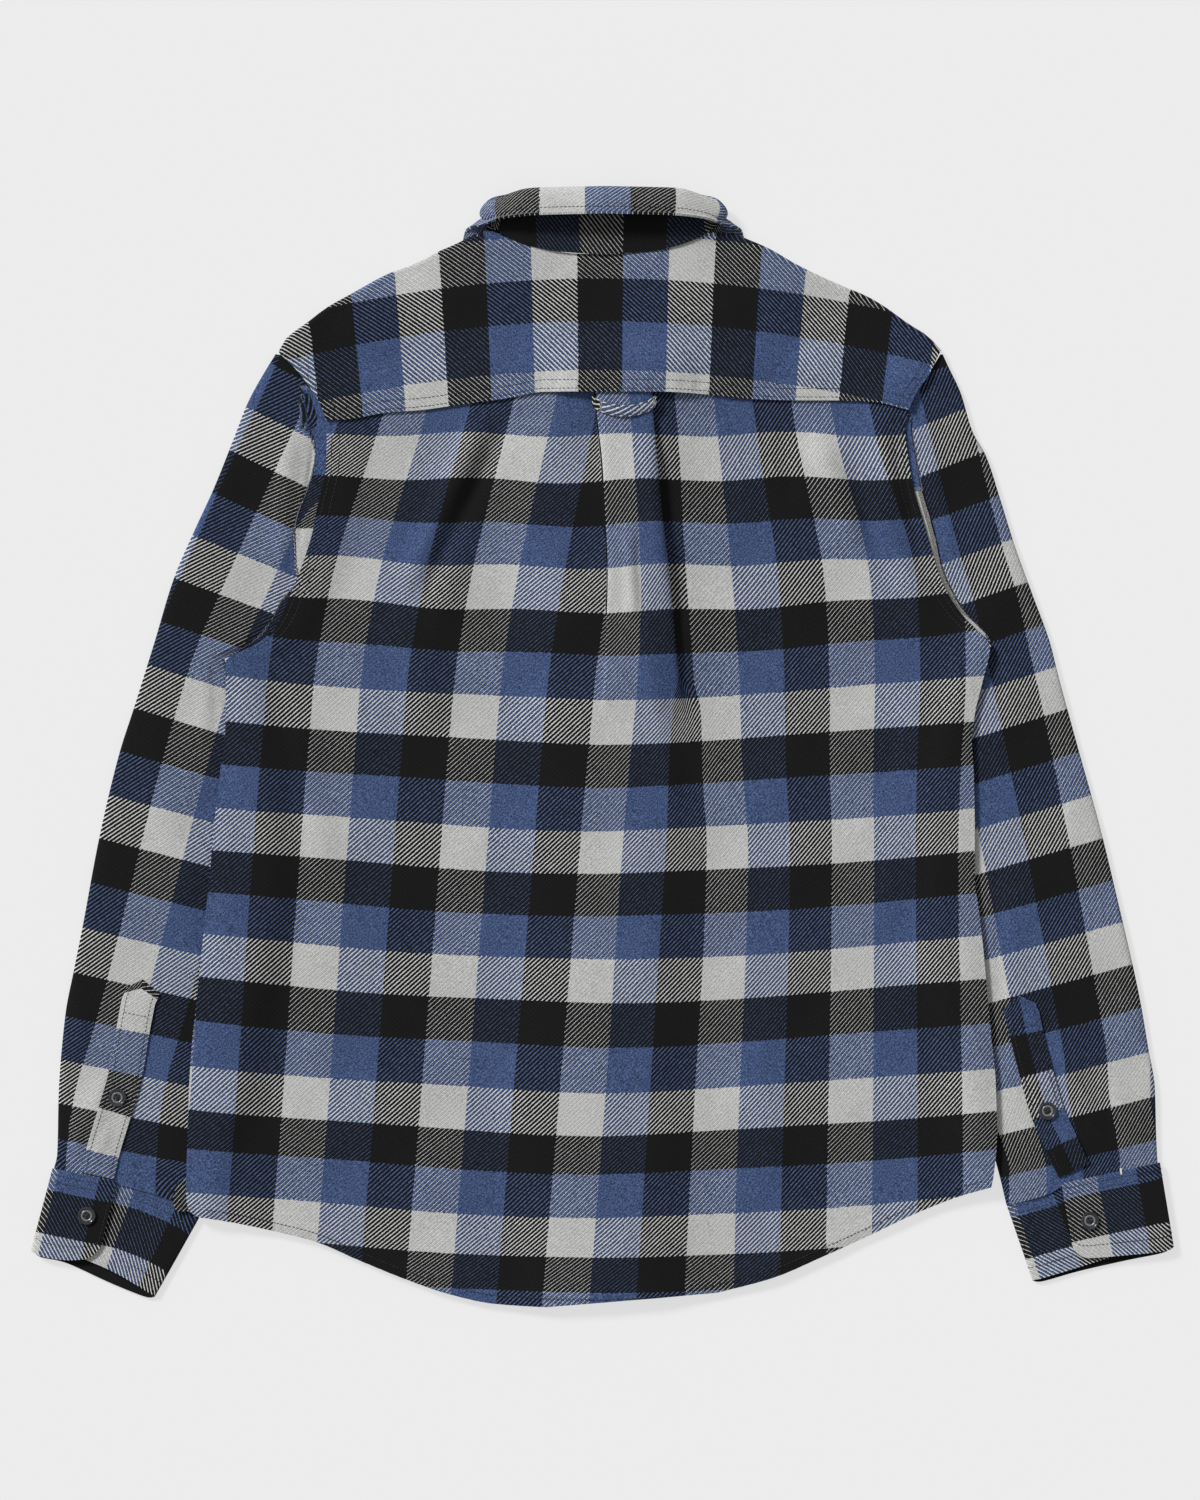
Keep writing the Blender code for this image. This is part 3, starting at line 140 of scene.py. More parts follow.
CUFF_RIGHT = dict(
    seam_x=(331.6, 354, 396, 401.3, 396, 370, 338, 300, 292.8, 299, 323, 356),
    seam_y=(-314.5, -309.5, -300.8, -299.6, -301.6, -306.5, -314.5, -327.6, -328.6, -326.6, -319.8, -310.4),
    edge_x=(341, 366, 406, 411.3, 405.5, 378, 345, 318, 311.8, 318, 345, 372),
    edge_y=(-368.5, -367, -363, -359, -364.2, -370, -377.5, -385, -383.8, -382.6, -374.5, -366),
    z=CUFF_Z,
    warp=(-0.87, -0.1, 1.4, 1.65, 1.8, 2.8, 4.1, 5.6, 5.85, 6.05, 6.95, 8.0))
CUFF_CORNER = 11.0
CUFF_LAP = 3.2  # the sleeve's end is sewn in between the layers of the cuff
PLACKET_LEFT = dict(y=(-167.5, -200, -237, -265, -290, -309.5), x=(-329, -335.5, -342, -350, -357.5, -362))
PLACKET_RIGHT = dict(y=(-179, -205, -235, -262, -283, -306), x=(301, 306, 313.5, 321, 330.5, 341))
PLACKET_WIDTH, PLACKET_POINT = 24.0, 8.0
COLLAR = dict(
    seam_x=(0, 34, 52, 68, 77, 84, 82.5, 70, 56, 31, 0),
    seam_y=(353.6, 356.1, 359.9, 365.6, 371.2, 375.5, 356.5, 334.8, 313.8, 296.8, 289.6),
    seam_z=(8.1, 8.1, 8.1, 8.1, 7.8, 4.3, 3.6, 3.5, 3.5, 3.5, 3.5),
    top_x=(0, 35, 53.5, 65.5, 71, 70, 62, 47.5, 36, 19, 0),
    top_y=(383.4, 384.4, 386.4, 389.2, 389.5, 386, 374.5, 352, 334, 321.2, 316.2),
    top_z=(11, 11, 10.6, 10.2, 9.2, 5.6, 3.6, 3.5, 3.5, 3.5, 3.5),
    root_x=(0, 35, 54, 67, 74, 67.0, 58.7, 44.6, 33.5, 17.5, 0),
    root_y=(385.5, 386.5, 388.5, 391, 393.4, 390.4, 378.2, 353.9, 336.5, 324.4, 319.4),
    root_z=(11, 11, 10.6, 10.2, 9.8, 6.4, 3.6, 3.5, 3.5, 3.5, 3.5),
    turn_x=(0, 0.05, 0.12, 0.3, 0.9, 0.7, -0.6, -0.6, -0.6, -0.4, 0),
    turn_y=(1, 1, 0.99, 0.95, 0.4, 0.7, 0.8, 0.8, 0.8, 0.9, 1),
    roll=(18, 17, 15, 9.5, 8, 6.8, 2.2, 2.0, 2.0, 2.0, 2.0),
    share=(0.85, 0.85, 0.85, 0.85, 0.8, 0.5, 0.05, 0.05, 0.05, 0.05, 0.05),
    drop=(0.85, 0.85, 0.85, 0.85, 0.8, 0.75, 1, 1, 1, 1, 1),
    edge_x=(0, 37, 57, 74, 86, 99.5, 100, 88, 76, 64, 50),
    edge_y=(383, 382.3, 381.3, 379, 375, 370.5, 351, 322, 294, 276, 264),
    edge_z=(26, 25, 23, 19, 13, 1.9, 0.95, 0.95, 0.95, 0.95, 0.95))
COLLAR_X = 2.3
PLEAT = dict(
    y=(268, 255, 200, 160, 130, 95, 50, 20),
    left=(-1, -1, 4, 6, 7, 6, 3, 1),
    right=(35, 35, 39, 43, 47, 51, 56, 62),
    depth=(1, 1, 1, 0.95, 0.85, 0.7, 0.45, 0.0),
    puff=(0, 0, 3.2, 4.6, 4.8, 4.4, 3.6, 3.0))
print("outlines for", len(LEFT_EDGE["y"]), "places down the left side,", len(HEM["x"]), "along the hem")

# %% [markdown]
# ## Folds
#
# Brushed cotton keeps soft folds where it was pressed or pulled.  Each is a low ridge along a straight
# run: high in the middle, and fading to both sides and to both ends.  A negative rise is a trough.  The
# hidden fronts are kept plain.

# %% Tables of folds: start, end, half width and rise in millimetres
FOLDS_BACK = dict(
    x0=(-75, 150, 196, -62, -92, 176, 205, -150, 128, -30, -226, 232, -60, 110, 40, 26, -6, 60, 19, 27,
        188),
    y0=(256, 236, 246, 246, 190, 216, 236, 120, 236, 60, 60, 60, -200, -180, 275, 120, 275, 250, 165, 165,
        196),
    x1=(-147, 190, 218, -132, -130, 218, 238, -118, 140, -18, -190, 205, -48, 124, 75, 56, 0, 83, 24, 31,
        234),
    y1=(98, 136, 160, 98, 40, 86, 108, 0, 168, -90, -120, -140, -330, -330, -30, -70, 110, -30, 80, 80,
        92),
    half_width=(10, 9, 7, 7, 12, 6, 5, 12, 6, 14, 12, 12, 16, 14, 8, 9, 5, 5, 4, 3, 7),
    rise=(5.6, 4.0, 3.0, -2.8, 2.6, -1.6, -2.0, 2.2, -1.3, 2.0, 2.1, 2.1, 2.0, 2.0, -2.6, 2.0, -1.8, 2.0,
          2.0, -1.0, 3.6))
FOLDS_YOKE = dict(
    x0=(-150, 150, -60, 90, -20), y0=(330, 320, 340, 345, 300),
    x1=(-120, 130, -80, 100, 20), y1=(262, 262, 270, 270, 290),
    half_width=(9, 9, 8, 7, 10), rise=(0.5, 0.5, 0.35, 0.4, 0.25))
FOLDS_SLEEVE_LEFT = dict(
    x0=(-222, -203, -240, -330, -352, -372, -352, -300, -262, -380, -340),
    y0=(240, 236, 100, 40, -230, -256, -270, -60, 40, -120, -290),
    x1=(-232, -219, -300, -300, -374, -382, -366, -282, -272, -372, -344),
    y1=(112, 122, -20, -120, -290, -302, -306, -230, -60, -230, -318),
    half_width=(7, 2.5, 14, 16, 8, 4, 4, 14, 8, 7, 4),
    rise=(2.2, -1.6, 1.8, 1.6, 1.6, 1.0, 0.8, 1.2, 1.0, 1.0, 0.8))
FOLDS_SLEEVE_RIGHT = dict(
    x0=(232, 262, 330, 326, 372, 345, 300, 374, 386, 352),
    y0=(222, 120, -20, -205, -240, -225, -60, -60, -262, -286),
    x1=(256, 318, 352, 372, 380, 372, 290, 384, 390, 356),
    y1=(128, 0, -170, -303, -296, -290, -220, -190, -300, -312),
    half_width=(6, 14, 16, 5, 6, 6, 12, 8, 4, 3),
    rise=(1.8, 1.6, 1.5, 2.5, 1.2, -1.8, 1.3, 1.0, 0.8, -0.7))

# The tables of both sides; the sign is 1 where X grows towards the middle of the body, else -1
SLEEVES = dict(left=(SLEEVE_LEFT, 1, FOLDS_SLEEVE_LEFT), right=(SLEEVE_RIGHT, -1, FOLDS_SLEEVE_RIGHT))
EDGES = dict(left=LEFT_EDGE, right=RIGHT_EDGE)
ARMHOLES = dict(left=SLEEVE_LEFT["armhole"], right=SLEEVE_RIGHT["armhole"])
SHOULDERS = dict(left=SHOULDER_LEFT, right=SHOULDER_RIGHT)
CUFFS = dict(left=CUFF_LEFT, right=CUFF_RIGHT)
PLACKETS = dict(left=PLACKET_LEFT, right=PLACKET_RIGHT)
print(len(FOLDS_BACK["x0"]), "folds on the back,",
      " and ".join(str(len(creases["x0"])) for _, _, creases in SLEEVES.values()), "on the sleeves")

# %% [markdown]
# ## Curves and nets
#
# A pattern cutter joins a few measured points with a curved ruler.  The same is done here with a cubic
# that passes through every row of a table and never swings past it.  A whole piece is then a net of
# lines between its four edges.

# %% Curves through tables
def smooth(t):
    """0 below 0, 1 above 1, and a soft S between: 3 t squared less 2 t cubed."""
    t = np.clip(t, 0.0, 1.0)
    return t * t * (3.0 - 2.0 * t)


def plateau(distance, flat, fade):
    """1 within flat of the middle, falling softly to 0 over the next fade."""
    return 1.0 - smooth((np.abs(distance) - flat) / fade)


def highest(*heights):
    """A soft maximum of heights: the fourth root of the sum of their fourth powers."""
    return sum(np.maximum(h, 0.0) ** 4 for h in heights) ** 0.25


def table_curve(places, values, at):
    """Values between the rows of a table: a cubic with the rows' harmonic mean slopes (monotone)."""
    t = np.asarray(places, float)
    v = np.asarray(values, float)
    if t[0] > t[-1]:
        t, v = t[::-1], v[::-1]
    step = np.diff(t)
    slope = np.diff(v) / step
    tangent = np.zeros_like(v)
    same = slope[1:] * slope[:-1] > 0
    weight1, weight2 = 2 * step[1:] + step[:-1], step[1:] + 2 * step[:-1]
    with np.errstate(divide="ignore", invalid="ignore"):
        harmonic = (weight1 + weight2) / (weight1 / slope[:-1] + weight2 / slope[1:])
    tangent[1:-1] = np.where(same, harmonic, 0.0)
    tangent[0], tangent[-1] = slope[0], slope[-1]
    at = np.clip(np.asarray(at, float), t[0], t[-1])
    k = np.clip(np.searchsorted(t, at, side="right") - 1, 0, len(t) - 2)
    s = (at - t[k]) / step[k]
    return ((1 + 2 * s) * (1 - s) ** 2 * v[k] + s * (1 - s) ** 2 * step[k] * tangent[k]
            + s * s * (3 - 2 * s) * v[k + 1] + s * s * (s - 1) * step[k] * tangent[k + 1])


def read(table, row, y):
    """One row of a table at the heights y."""
    return table_curve(table["y"], table[row], y)


def x_at(table, y):
    """Where an outline given by heights runs."""
    return read(table, "x", y)


def y_at(table, x):
    """Where an outline given by places across runs."""
    return table_curve(table["x"], table["y"], x)


def part_way(values, share):
    """A value the given share of the way from the first of a row to its last."""
    return values[0] + (values[-1] - values[0]) * share


def row_curve(values, at):
    """Values along a table's rows, at running from 0 to 1 over all rows (Catmull-Rom cubic)."""
    v = np.asarray(values, float)
    t = np.clip(np.asarray(at, float), 0.0, 1.0) * (len(v) - 1)
    k = np.clip(t.astype(int), 0, len(v) - 2)
    s = t - k
    before, after = v[np.maximum(k - 1, 0)], v[np.minimum(k + 2, len(v) - 1)]
    return 0.5 * (2 * v[k] + (v[k + 1] - before) * s
                  + (2 * before - 5 * v[k] + 4 * v[k + 1] - after) * s ** 2
                  + (3 * v[k] - 3 * v[k + 1] + after - before) * s ** 3)


def spread(*stretches):
    """Places along a line: each stretch is (end, steps), starting from 0."""
    places, start = [0.0], 0.0
    for end, steps in stretches:
        places += [start + (end - start) * (k + 1) / steps for k in range(steps)]
        start = end
    return np.array(places)


def points(*parts):
    """Places from their coordinates, or stripe numbers from the two counts."""
    return np.stack(np.broadcast_arrays(*parts), axis=-1).astype(float)


def evenly(count):
    """Evenly spaced shares from 0 to 1."""
    return np.linspace(0.0, 1.0, count)


def along_y(table, share):
    """Points of an outline given by heights, at shares of its way."""
    y = part_way(table["y"], share)
    return points(x_at(table, y), y)


def along_x(table, share):
    """Points of an outline given by places across, at shares of its way."""
    x = part_way(table["x"], share)
    return points(x, y_at(table, x))


def unit(ways):
    """Directions of length 1."""
    return ways / np.maximum(np.linalg.norm(ways, axis=-1, keepdims=True), 1e-9)


def run_along(line):
    """Length along a line of points, from its first one."""
    return np.concatenate([[0.0], np.cumsum(np.linalg.norm(np.diff(line, axis=0), axis=1))])


def net(bottom, top, left, right, u, v, reach=1.0):
    """A net between four edges: straight lines from side to side, bent by the bottom's shape in
    proportion to the height left, and over the last share reach by the top's shape."""
    u, v = u[:, None, None], v[None, :, None]
    bottom, top, left, right = bottom[:, None], top[:, None], left[None], right[None]
    bottom_bend = bottom - (1 - u) * bottom[:1] - u * bottom[-1:]
    top_bend = top - (1 - u) * top[:1] - u * top[-1:]
    near_top = np.clip((v - 1 + reach) / reach, 0.0, 1.0)
    return (1 - u) * left + u * right + (1 - v) * bottom_bend + near_top * top_bend


print("hem 100 mm left of the middle lies at y =", round(float(y_at(HEM, -100.0)), 1))

# %% Folds, slack and puckers
def folds(table, x, y):
    """Ridges along straight runs: rise times a bell across the run times a soft fade at both ends."""
    height = np.zeros_like(x)
    for x0, y0, x1, y1, half_width, rise in zip(*table.values()):
        run_x, run_y = x1 - x0, y1 - y0
        length = math.hypot(run_x, run_y)
        along = ((x - x0) * run_x + (y - y0) * run_y) / length ** 2
        off = ((x - x0) * run_y - (y - y0) * run_x) / length
        ends = smooth(along / 0.3) * smooth((1 - along) / 0.3)
        height = height + rise * ends * np.exp(-(off / half_width) ** 2)
    return height


SLACK_WAVES = ((0.3, 118.0, 0.2), (1.25, 83.0, 1.9), (2.1, 61.0, 4.0), (0.8, 47.0, 2.7), (2.7, 36.0, 5.1))
SLACK_HEIGHT, SLACK_LIFT = 0.34, 1.2


def slack(x, y, size=1.0):
    """The uneven lie of soft cloth: long waves, each with a turn, a length and a start, added up and
    raised, so that they lift the cloth more than they lower it."""
    height = np.zeros_like(x)
    for turn, length, start in SLACK_WAVES:
        way = x * math.cos(turn) + y * math.sin(turn)
        height = height + length / 100 * np.sin(2 * np.pi * way / length + start)
    return SLACK_HEIGHT * size * (height + SLACK_LIFT)


PUCKER_DRIFT, PUCKER_DRIFT_LENGTH = 1.3, 23.0  # the ripples come closer together and further apart


def pucker(distance, along, rise=0.28, reach=7.0, length=10.5):
    """The short ripples that thread pulls into cloth beside a seam, dying away from it."""
    ripple = np.sin(2 * np.pi * along / length + PUCKER_DRIFT * np.sin(along / PUCKER_DRIFT_LENGTH))
    return rise * ripple * np.exp(-(distance / reach) ** 2)


sheet = slack(*np.meshgrid(np.arange(600.0), np.arange(600.0)))
print("slack runs from", round(float(sheet.min()), 2), "to", round(float(sheet.max()), 2), "mm")

# %% [markdown]
# ## How the layers lie
#
# Pressed flat, a shirt is a stack: buttons, band, fronts, back, and the sleeves half under the sides.
# Each function gives the height of one layer over the plan, from what lies under it, so no layer can
# run through another.

# %% Heights over the plan
SLEEVE_CLEAR, SLEEVE_END_CLEAR = 0.7, 0.6  # room over a sleeve, and over its end
UNDERARM_Y, UNDERARM_FADE = dict(left=92.0, right=100.0), 26.0
BESIDE_SLEEVE, BESIDE_FADE = 34.0, 28.0  # how far the body's rise reaches past a sleeve
ARMHOLE_REACH, ARMHOLE_FADE = 52.0, 40.0
COLLAR_Y, COLLAR_REACH, COLLAR_FADE = 322.0, (120.0, 80.0), 0.28
BAND_HALF, BAND_FADE, BAND_TOP, BAND_TOP_FADE = 26.0, 55.0, 325.0, 35.0
OVERLAP_HALF, OVERLAP_TOP, OVERLAP_TOP_FADE = 27.0, 335.0, 40.0
SIDE_SEAM, SEAM_TOP, SEAM_TOP_FADE = 12.0, 60.0, 20.0  # the sides are sewn, so the layers meet there
HEM_PUCKER, SIDE_PUCKER, YOKE_PUCKER = 6.0, 5.0, 6.0  # where the puckers are strongest
SLACK_INSIDE = 30.0
PLEAT_BESIDE, PLEAT_FADE = 16.0, 26.0
LAP_BESIDE, LAP_FADE = 8.0, 26.0
UNCOVERED, UNCOVERED_TOP, UNCOVERED_FOOT = 40.0, 64.0, -345.0  # where nothing lies on a sleeve
LOFT_FROM, LOFT_OVER, LOFT_FOOT, LOFT_FOOT_FADE = 60.0, 48.0, 20.0, 60.0
CUFF_TOP, CUFF_FADE = -306.0, 20.0
OFF_ARMHOLE, OFF_ARMHOLE_FADE, OFF_SIDE, OFF_SIDE_FADE = 4.0, 12.0, 2.0, 14.0
SLACK_SHIFT, SLEEVE_SLACK = 900.0, 1.1  # the sleeves lie in other waves than the body


def inside(outlines, x, y):
    """Distance in from the nearer of two outlines, one on each side of the body."""
    return np.minimum(x - x_at(outlines["left"], y), x_at(outlines["right"], y) - x)


def over_sleeves(x, y):
    """Rise of the body over the empty sleeves under its sides."""
    low = [smooth((UNDERARM_Y[side] - y) / UNDERARM_FADE)
           * smooth((sign * (x_at(table["inner"], y) - x) + BESIDE_SLEEVE) / BESIDE_FADE)
           for side, (table, sign, _) in SLEEVES.items()]
    return (SLEEVE_LOFT + SLEEVE_CLEAR) * np.maximum(*low)


def over_collar(x, y):
    """Rise of the fronts over the leaf of the collar, in an oval round the neck."""
    reach = np.hypot((x - COLLAR_X) / COLLAR_REACH[0], (y - COLLAR_Y) / COLLAR_REACH[1])
    return LEAF_LIFT * (1 - smooth((reach - 1) / COLLAR_FADE))


def front_under(x, y):
    """Underside of the fronts: over the sleeves, the collar and the button band."""
    band = ((BAND_LIFT + CLOTH + LAYER_GAP) * plateau(x - BAND_X, BAND_HALF, BAND_FADE)
            * smooth((BAND_TOP - y) / BAND_TOP_FADE))
    return highest(over_sleeves(x, y), over_collar(x, y), band)


def overlap_step(x, y):
    """Rise of the upper front over the lower one, where they are buttoned."""
    return ((CLOTH + LAYER_GAP) * plateau(x - BAND_X, OVERLAP_HALF, BAND_FADE)
            * smooth((OVERLAP_TOP - y) / OVERLAP_TOP_FADE))


def armhole_lift(x, y):
    """Rise of the body over the ends of the sleeves that lie under the armholes."""
    near = smooth((ARMHOLE_REACH - inside(ARMHOLES, x, y)) / ARMHOLE_FADE)
    return (SLEEVE_END_LOFT + SLEEVE_END_CLEAR) * near


def back_under(x, y):
    """Underside of the back: over the fronts and the sleeve ends, with its folds."""
    from_side = inside(EDGES, x, y)
    seam = ((AIR - LAYER_GAP) * smooth((SIDE_SEAM - from_side) / SIDE_SEAM)
            * smooth((SEAM_TOP - y) / SEAM_TOP_FADE))
    floor = front_under(x, y) + overlap_step(x, y) + CLOTH + AIR - seam
    ripples = pucker(y - y_at(HEM, x) - HEM_PUCKER, x) + pucker(from_side - SIDE_PUCKER, y, 0.2)
    return (highest(floor, armhole_lift(x, y)) + folds(FOLDS_BACK, x, y) + ripples
            + slack(x, y) * smooth(from_side / SLACK_INSIDE))


def over_pleat(x):
    """Rise of the yoke and the loop over the top of the box pleat."""
    left, right = PLEAT["left"][0], PLEAT["right"][0]
    return PLEAT_RISE * plateau(x - 0.5 * (left + right), 0.5 * (right - left) + PLEAT_BESIDE, PLEAT_FADE)


def yoke_under(x, y):
    """Underside of the yoke: over the back where it laps it, with its own small folds."""
    above = y - y_at(YOKE_SEAM, x)
    lap = 1 - smooth((above - YOKE_LAP - LAP_BESIDE) / LAP_FADE)
    ripples = pucker(above - YOKE_PUCKER, x, 0.22) + folds(FOLDS_YOKE, x, y)
    return back_under(x, y) + lap * (CLOTH + LAP_GAP + over_pleat(x)) + ripples


def side_gap(side, x, y):
    """How far out from the body's side a place on a sleeve is; more where nothing lies on the sleeve,
    above the underarm and past the hem."""
    gap = SLEEVES[side][1] * (x_at(EDGES[side], y) - x)
    return gap + UNCOVERED * (smooth((y - UNCOVERED_TOP) / 20) + smooth((UNCOVERED_FOOT - y) / 10))


def sleeve_top(side, x, y):
    """Middle of a sleeve's upper layer: its loft, with folds where nothing lies on it."""
    table, sign, creases = SLEEVES[side]
    armhole = sign * (x - x_at(table["armhole"], y))
    near_armhole = smooth((armhole + LOFT_FROM) / LOFT_OVER) * smooth((y - LOFT_FOOT) / LOFT_FOOT_FADE)
    loft = SLEEVE_LOFT + (SLEEVE_END_LOFT - SLEEVE_LOFT) * near_armhole
    off_cuff = smooth((y - CUFF_TOP) / CUFF_FADE)
    off_armhole = smooth((-armhole - OFF_ARMHOLE) / OFF_ARMHOLE_FADE)
    off_side = smooth((side_gap(side, x, y) - OFF_SIDE) / OFF_SIDE_FADE)
    lie = folds(creases, x, y) + slack(x + SLACK_SHIFT, y, SLEEVE_SLACK)
    return loft - CLOTH / 2 + lie * off_cuff * off_armhole * off_side


back_height = back_under(np.array([0.0, -150.0, -285.0]), np.array([0.0, 0.0, -100.0]))
print("underside of the back at the middle, between, and over a sleeve:", back_height.round(1), "mm")

# %% [markdown]
# ## Shader maths as formulas
#
# A material is a small calculation done for every point that is seen.  The class below wraps one socket
# of a node, so that the calculation can be written as a formula with plus and times, and each operator
# adds the node that does it.

# %% A socket that can be calculated with
class Socket:
    """One value in a material.  Operators add a Math node; node() adds any other node."""

    def __init__(self, tree, output):
        self.tree, self.output = tree, output

    def feed(self, socket, value):
        if isinstance(value, Socket):
            self.tree.links.new(value.output, socket)
        else:
            socket.default_value = value

    def node(self, kind, settings, inputs, result=0):
        """Add a node: its settings first, then its sockets by name or number."""
        made = self.tree.nodes.new(kind)
        for key, value in settings.items():
            setattr(made, key, value)
        for key, value in inputs.items():
            self.feed(made.inputs[key], value)
        return Socket(self.tree, made.outputs[result])

    def math(self, operation, *values):
        return self.node("ShaderNodeMath", dict(operation=operation), dict(enumerate(values)))

    def __add__(self, other):
        return self.math("ADD", self, other)

    def __sub__(self, other):
        return self.math("SUBTRACT", self, other)

    def __mul__(self, other):
        return self.math("MULTIPLY", self, other)

    def __truediv__(self, other):
        return self.math("DIVIDE", self, other)

    __radd__, __rmul__ = __add__, __mul__

    def __rsub__(self, other):
        return self.math("SUBTRACT", other, self)

    def __rtruediv__(self, other):
        return self.math("DIVIDE", other, self)

    def grey(self):
        return self.node("ShaderNodeRGBToBW", {}, {0: self})

    def size(self):
        return self.math("ABSOLUTE", self)

    def at_least(self, limit):
        return self.math("GREATER_THAN", self, limit)

    def mix(self, other, share):
        """This colour, with the given share of another."""
        return self.node("ShaderNodeMix", dict(data_type="RGBA"),
                         {"Factor": share, "A": self, "B": other}, result=2)

    def noise(self, scale, detail=2.0):
        """Cloudy noise, read at the place that this socket gives."""
        return self.node("ShaderNodeTexNoise", {}, {"Vector": self, "Scale": scale, "Detail": detail})

    def between(self, low=0.0, high=1.0):
        return self.node("ShaderNodeClamp", {}, {"Value": self, "Min": low, "Max": high})

    def colour(self, value):
        """A fixed colour, to start a mix from."""
        made = self.node("ShaderNodeRGB", {}, {})
        made.output.default_value = value
        return made

    def cloth_map(self):
        """The two numbers that every corner of a piece carries, as the first and second output."""
        carried = self.node("ShaderNodeUVMap", dict(uv_map="cloth"), {})
        split = self.node("ShaderNodeSeparateXYZ", {}, {0: carried}).output.node.outputs
        return Socket(self.tree, split[0]), Socket(self.tree, split[1])

    def bump(self, strength, distance):
        return self.node("ShaderNodeBump", {},
                         {"Height": self, "Strength": strength, "Distance": distance})


def start_material(name):
    """A Principled material's shader, and a first socket with the object's own coordinates."""
    material = bpy.data.materials.new(name)
    material.use_nodes = True
    tree = material.node_tree
    place = tree.nodes.new("ShaderNodeTexCoord").outputs["Object"]
    return tree.nodes["Principled BSDF"], Socket(tree, place)


def finish_material(name, shader, place, values):
    """Feed the shader's inputs, each with a fixed value or a socket."""
    for key, value in values.items():
        place.feed(shader.inputs[key], value)
    return bpy.data.materials[name]


def linear(red, green, blue):
    """A screen colour (0 to 255) as the light it stands for."""
    c = np.array([red, green, blue]) / 255
    return (*np.where(c > 0.04045, ((c + 0.055) / 1.055) ** 2.4, c / 12.92).tolist(), 1.0)


DEEP_BLUE, PALE_BLUE = linear(46, 60, 92), linear(75, 93, 132)
BLACK, GREY = linear(20, 20, 21), linear(181, 181, 179)
YARNS = (DEEP_BLUE, PALE_BLUE, BLACK, GREY)
print("yarn colours as light:", [[round(part, 3) for part in yarn[:3]] for yarn in YARNS])

# %% [markdown]
# ## Brushed check flannel
#
# A yarn-dyed check has one list of stripes across (warp) and one along (weft): blue, black and grey, each
# 32 mm wide.  In a twill weave half of each square shows warp and half shows weft, in fine slanting
# lines.  So the material needs only the two stripe numbers: their whole part picks the two yarns, and
# their fractions, times the number of twill lines in a stripe, say which yarn is on top.  Brushing
# raises a nap, which blurs the lines and breaks up the colour.

# %% The flannel material
TWILL_WARP, TWILL_WEFT = 9.7, 8.8  # twill lines in one stripe, each way
TWILL_EDGE = 5.0  # how sharply one yarn takes over from the other
WEFT_LEAD = 0.16  # the fuller weft covers more than half
DARK_LEAD, DARK_LIMIT = 0.27, 2.0  # and a dark yarn spreads over a light one, up to a limit; this lead also holds the painted shade of the gaps between yarns
FLOAT_HIGHLIGHT = 0.6  # painted highlight and shade: a yarn is made lighter at the middle of its float, where it stands up to the light, and darker at the crossings
NAP_SCALE, WASH_SCALE = 1050.0, 26.0  # tufts of nap, and the broad unevenness of washing, per metre
NAP_SHADE, WASH_SHADE, SHADE = 1.2, 0.2, 0.98
NAP_STRIPE, NAP_TWILL, NAP_HEATHER = 0.07, 0.35, 3.4  # how far the nap blurs stripes, twill and blue
NAP_HEIGHT, TWILL_HEIGHT = 0.7, 0.16
CLOTH_BUMP, THREAD_BUMP = (0.35, 0.0007), (0.4, 0.0002)  # strength, and height in metres


def stripe_colour(number, blue, colours):
    """The yarn colour of a stripe number: blue, then the two given colours, over and over."""
    place = number.math("FLOORED_MODULO", number, 3.0)
    return blue.mix(colours[0], place.at_least(1.0)).mix(colours[1], place.at_least(2.0))


def flannel(name, lean, crosswise=False):
    """Check flannel with its twill lines leaning one way (1) or the other (-1).  In a piece that is cut
    crosswise the stripes that run down are weft.  The darker yarn's gain goes by the logarithm of how
    many times darker it is, up to a limit, and partly stands for the painted shade in the gaps between
    yarns."""
    lead, lines = WEFT_LEAD, (TWILL_WARP, TWILL_WEFT)
    if crosswise:
        lead, lines = -lead, lines[::-1]
    shader, place = start_material(name)
    warp, weft = place.cloth_map()
    tuft, wash = place.noise(NAP_SCALE), place.noise(WASH_SCALE) - 0.5
    nap = tuft - 0.5
    blue = place.colour(DEEP_BLUE).mix(PALE_BLUE, (nap * NAP_HEATHER + 0.5).between())
    warp_colour = stripe_colour(warp + nap * NAP_STRIPE, blue, (BLACK, GREY))
    weft_colour = stripe_colour(weft + nap * NAP_STRIPE, blue, (GREY, BLACK))
    phase = warp * lines[0] + weft * (lines[1] * lean) + nap * NAP_TWILL
    ridge = 1.0 - (phase.math("FRACT", phase) - 0.5).size() * 4.0
    times = warp_colour.grey() / weft_colour.grey()
    darker = times.math("LOGARITHM", times, math.e).between(-DARK_LIMIT, DARK_LIMIT)
    # The dark yarn's lead partly stands for painted shade in the gaps between yarns
    on_top = ((ridge - lead - darker * DARK_LEAD) * TWILL_EDGE + 0.5).between()
    # Painted light: the middle of each float is lightened as a lit ridge, and the crossings are darkened as
    # shade
    float_highlight = (ridge - lead).size()
    shade = SHADE + nap * NAP_SHADE + wash * WASH_SHADE + (float_highlight - 0.5) * FLOAT_HIGHLIGHT
    yarn = weft_colour.mix(warp_colour, on_top)
    return finish_material(name, shader, place, {
        "Base Color": yarn.node("ShaderNodeVectorMath", dict(operation="SCALE"), {0: yarn, "Scale": shade}),
        "Normal": (tuft * NAP_HEIGHT + ridge * TWILL_HEIGHT).bump(*CLOTH_BUMP),
        "Roughness": 0.92, "Specular IOR Level": 0.1, "Sheen Weight": 0.025, "Sheen Roughness": 0.6})


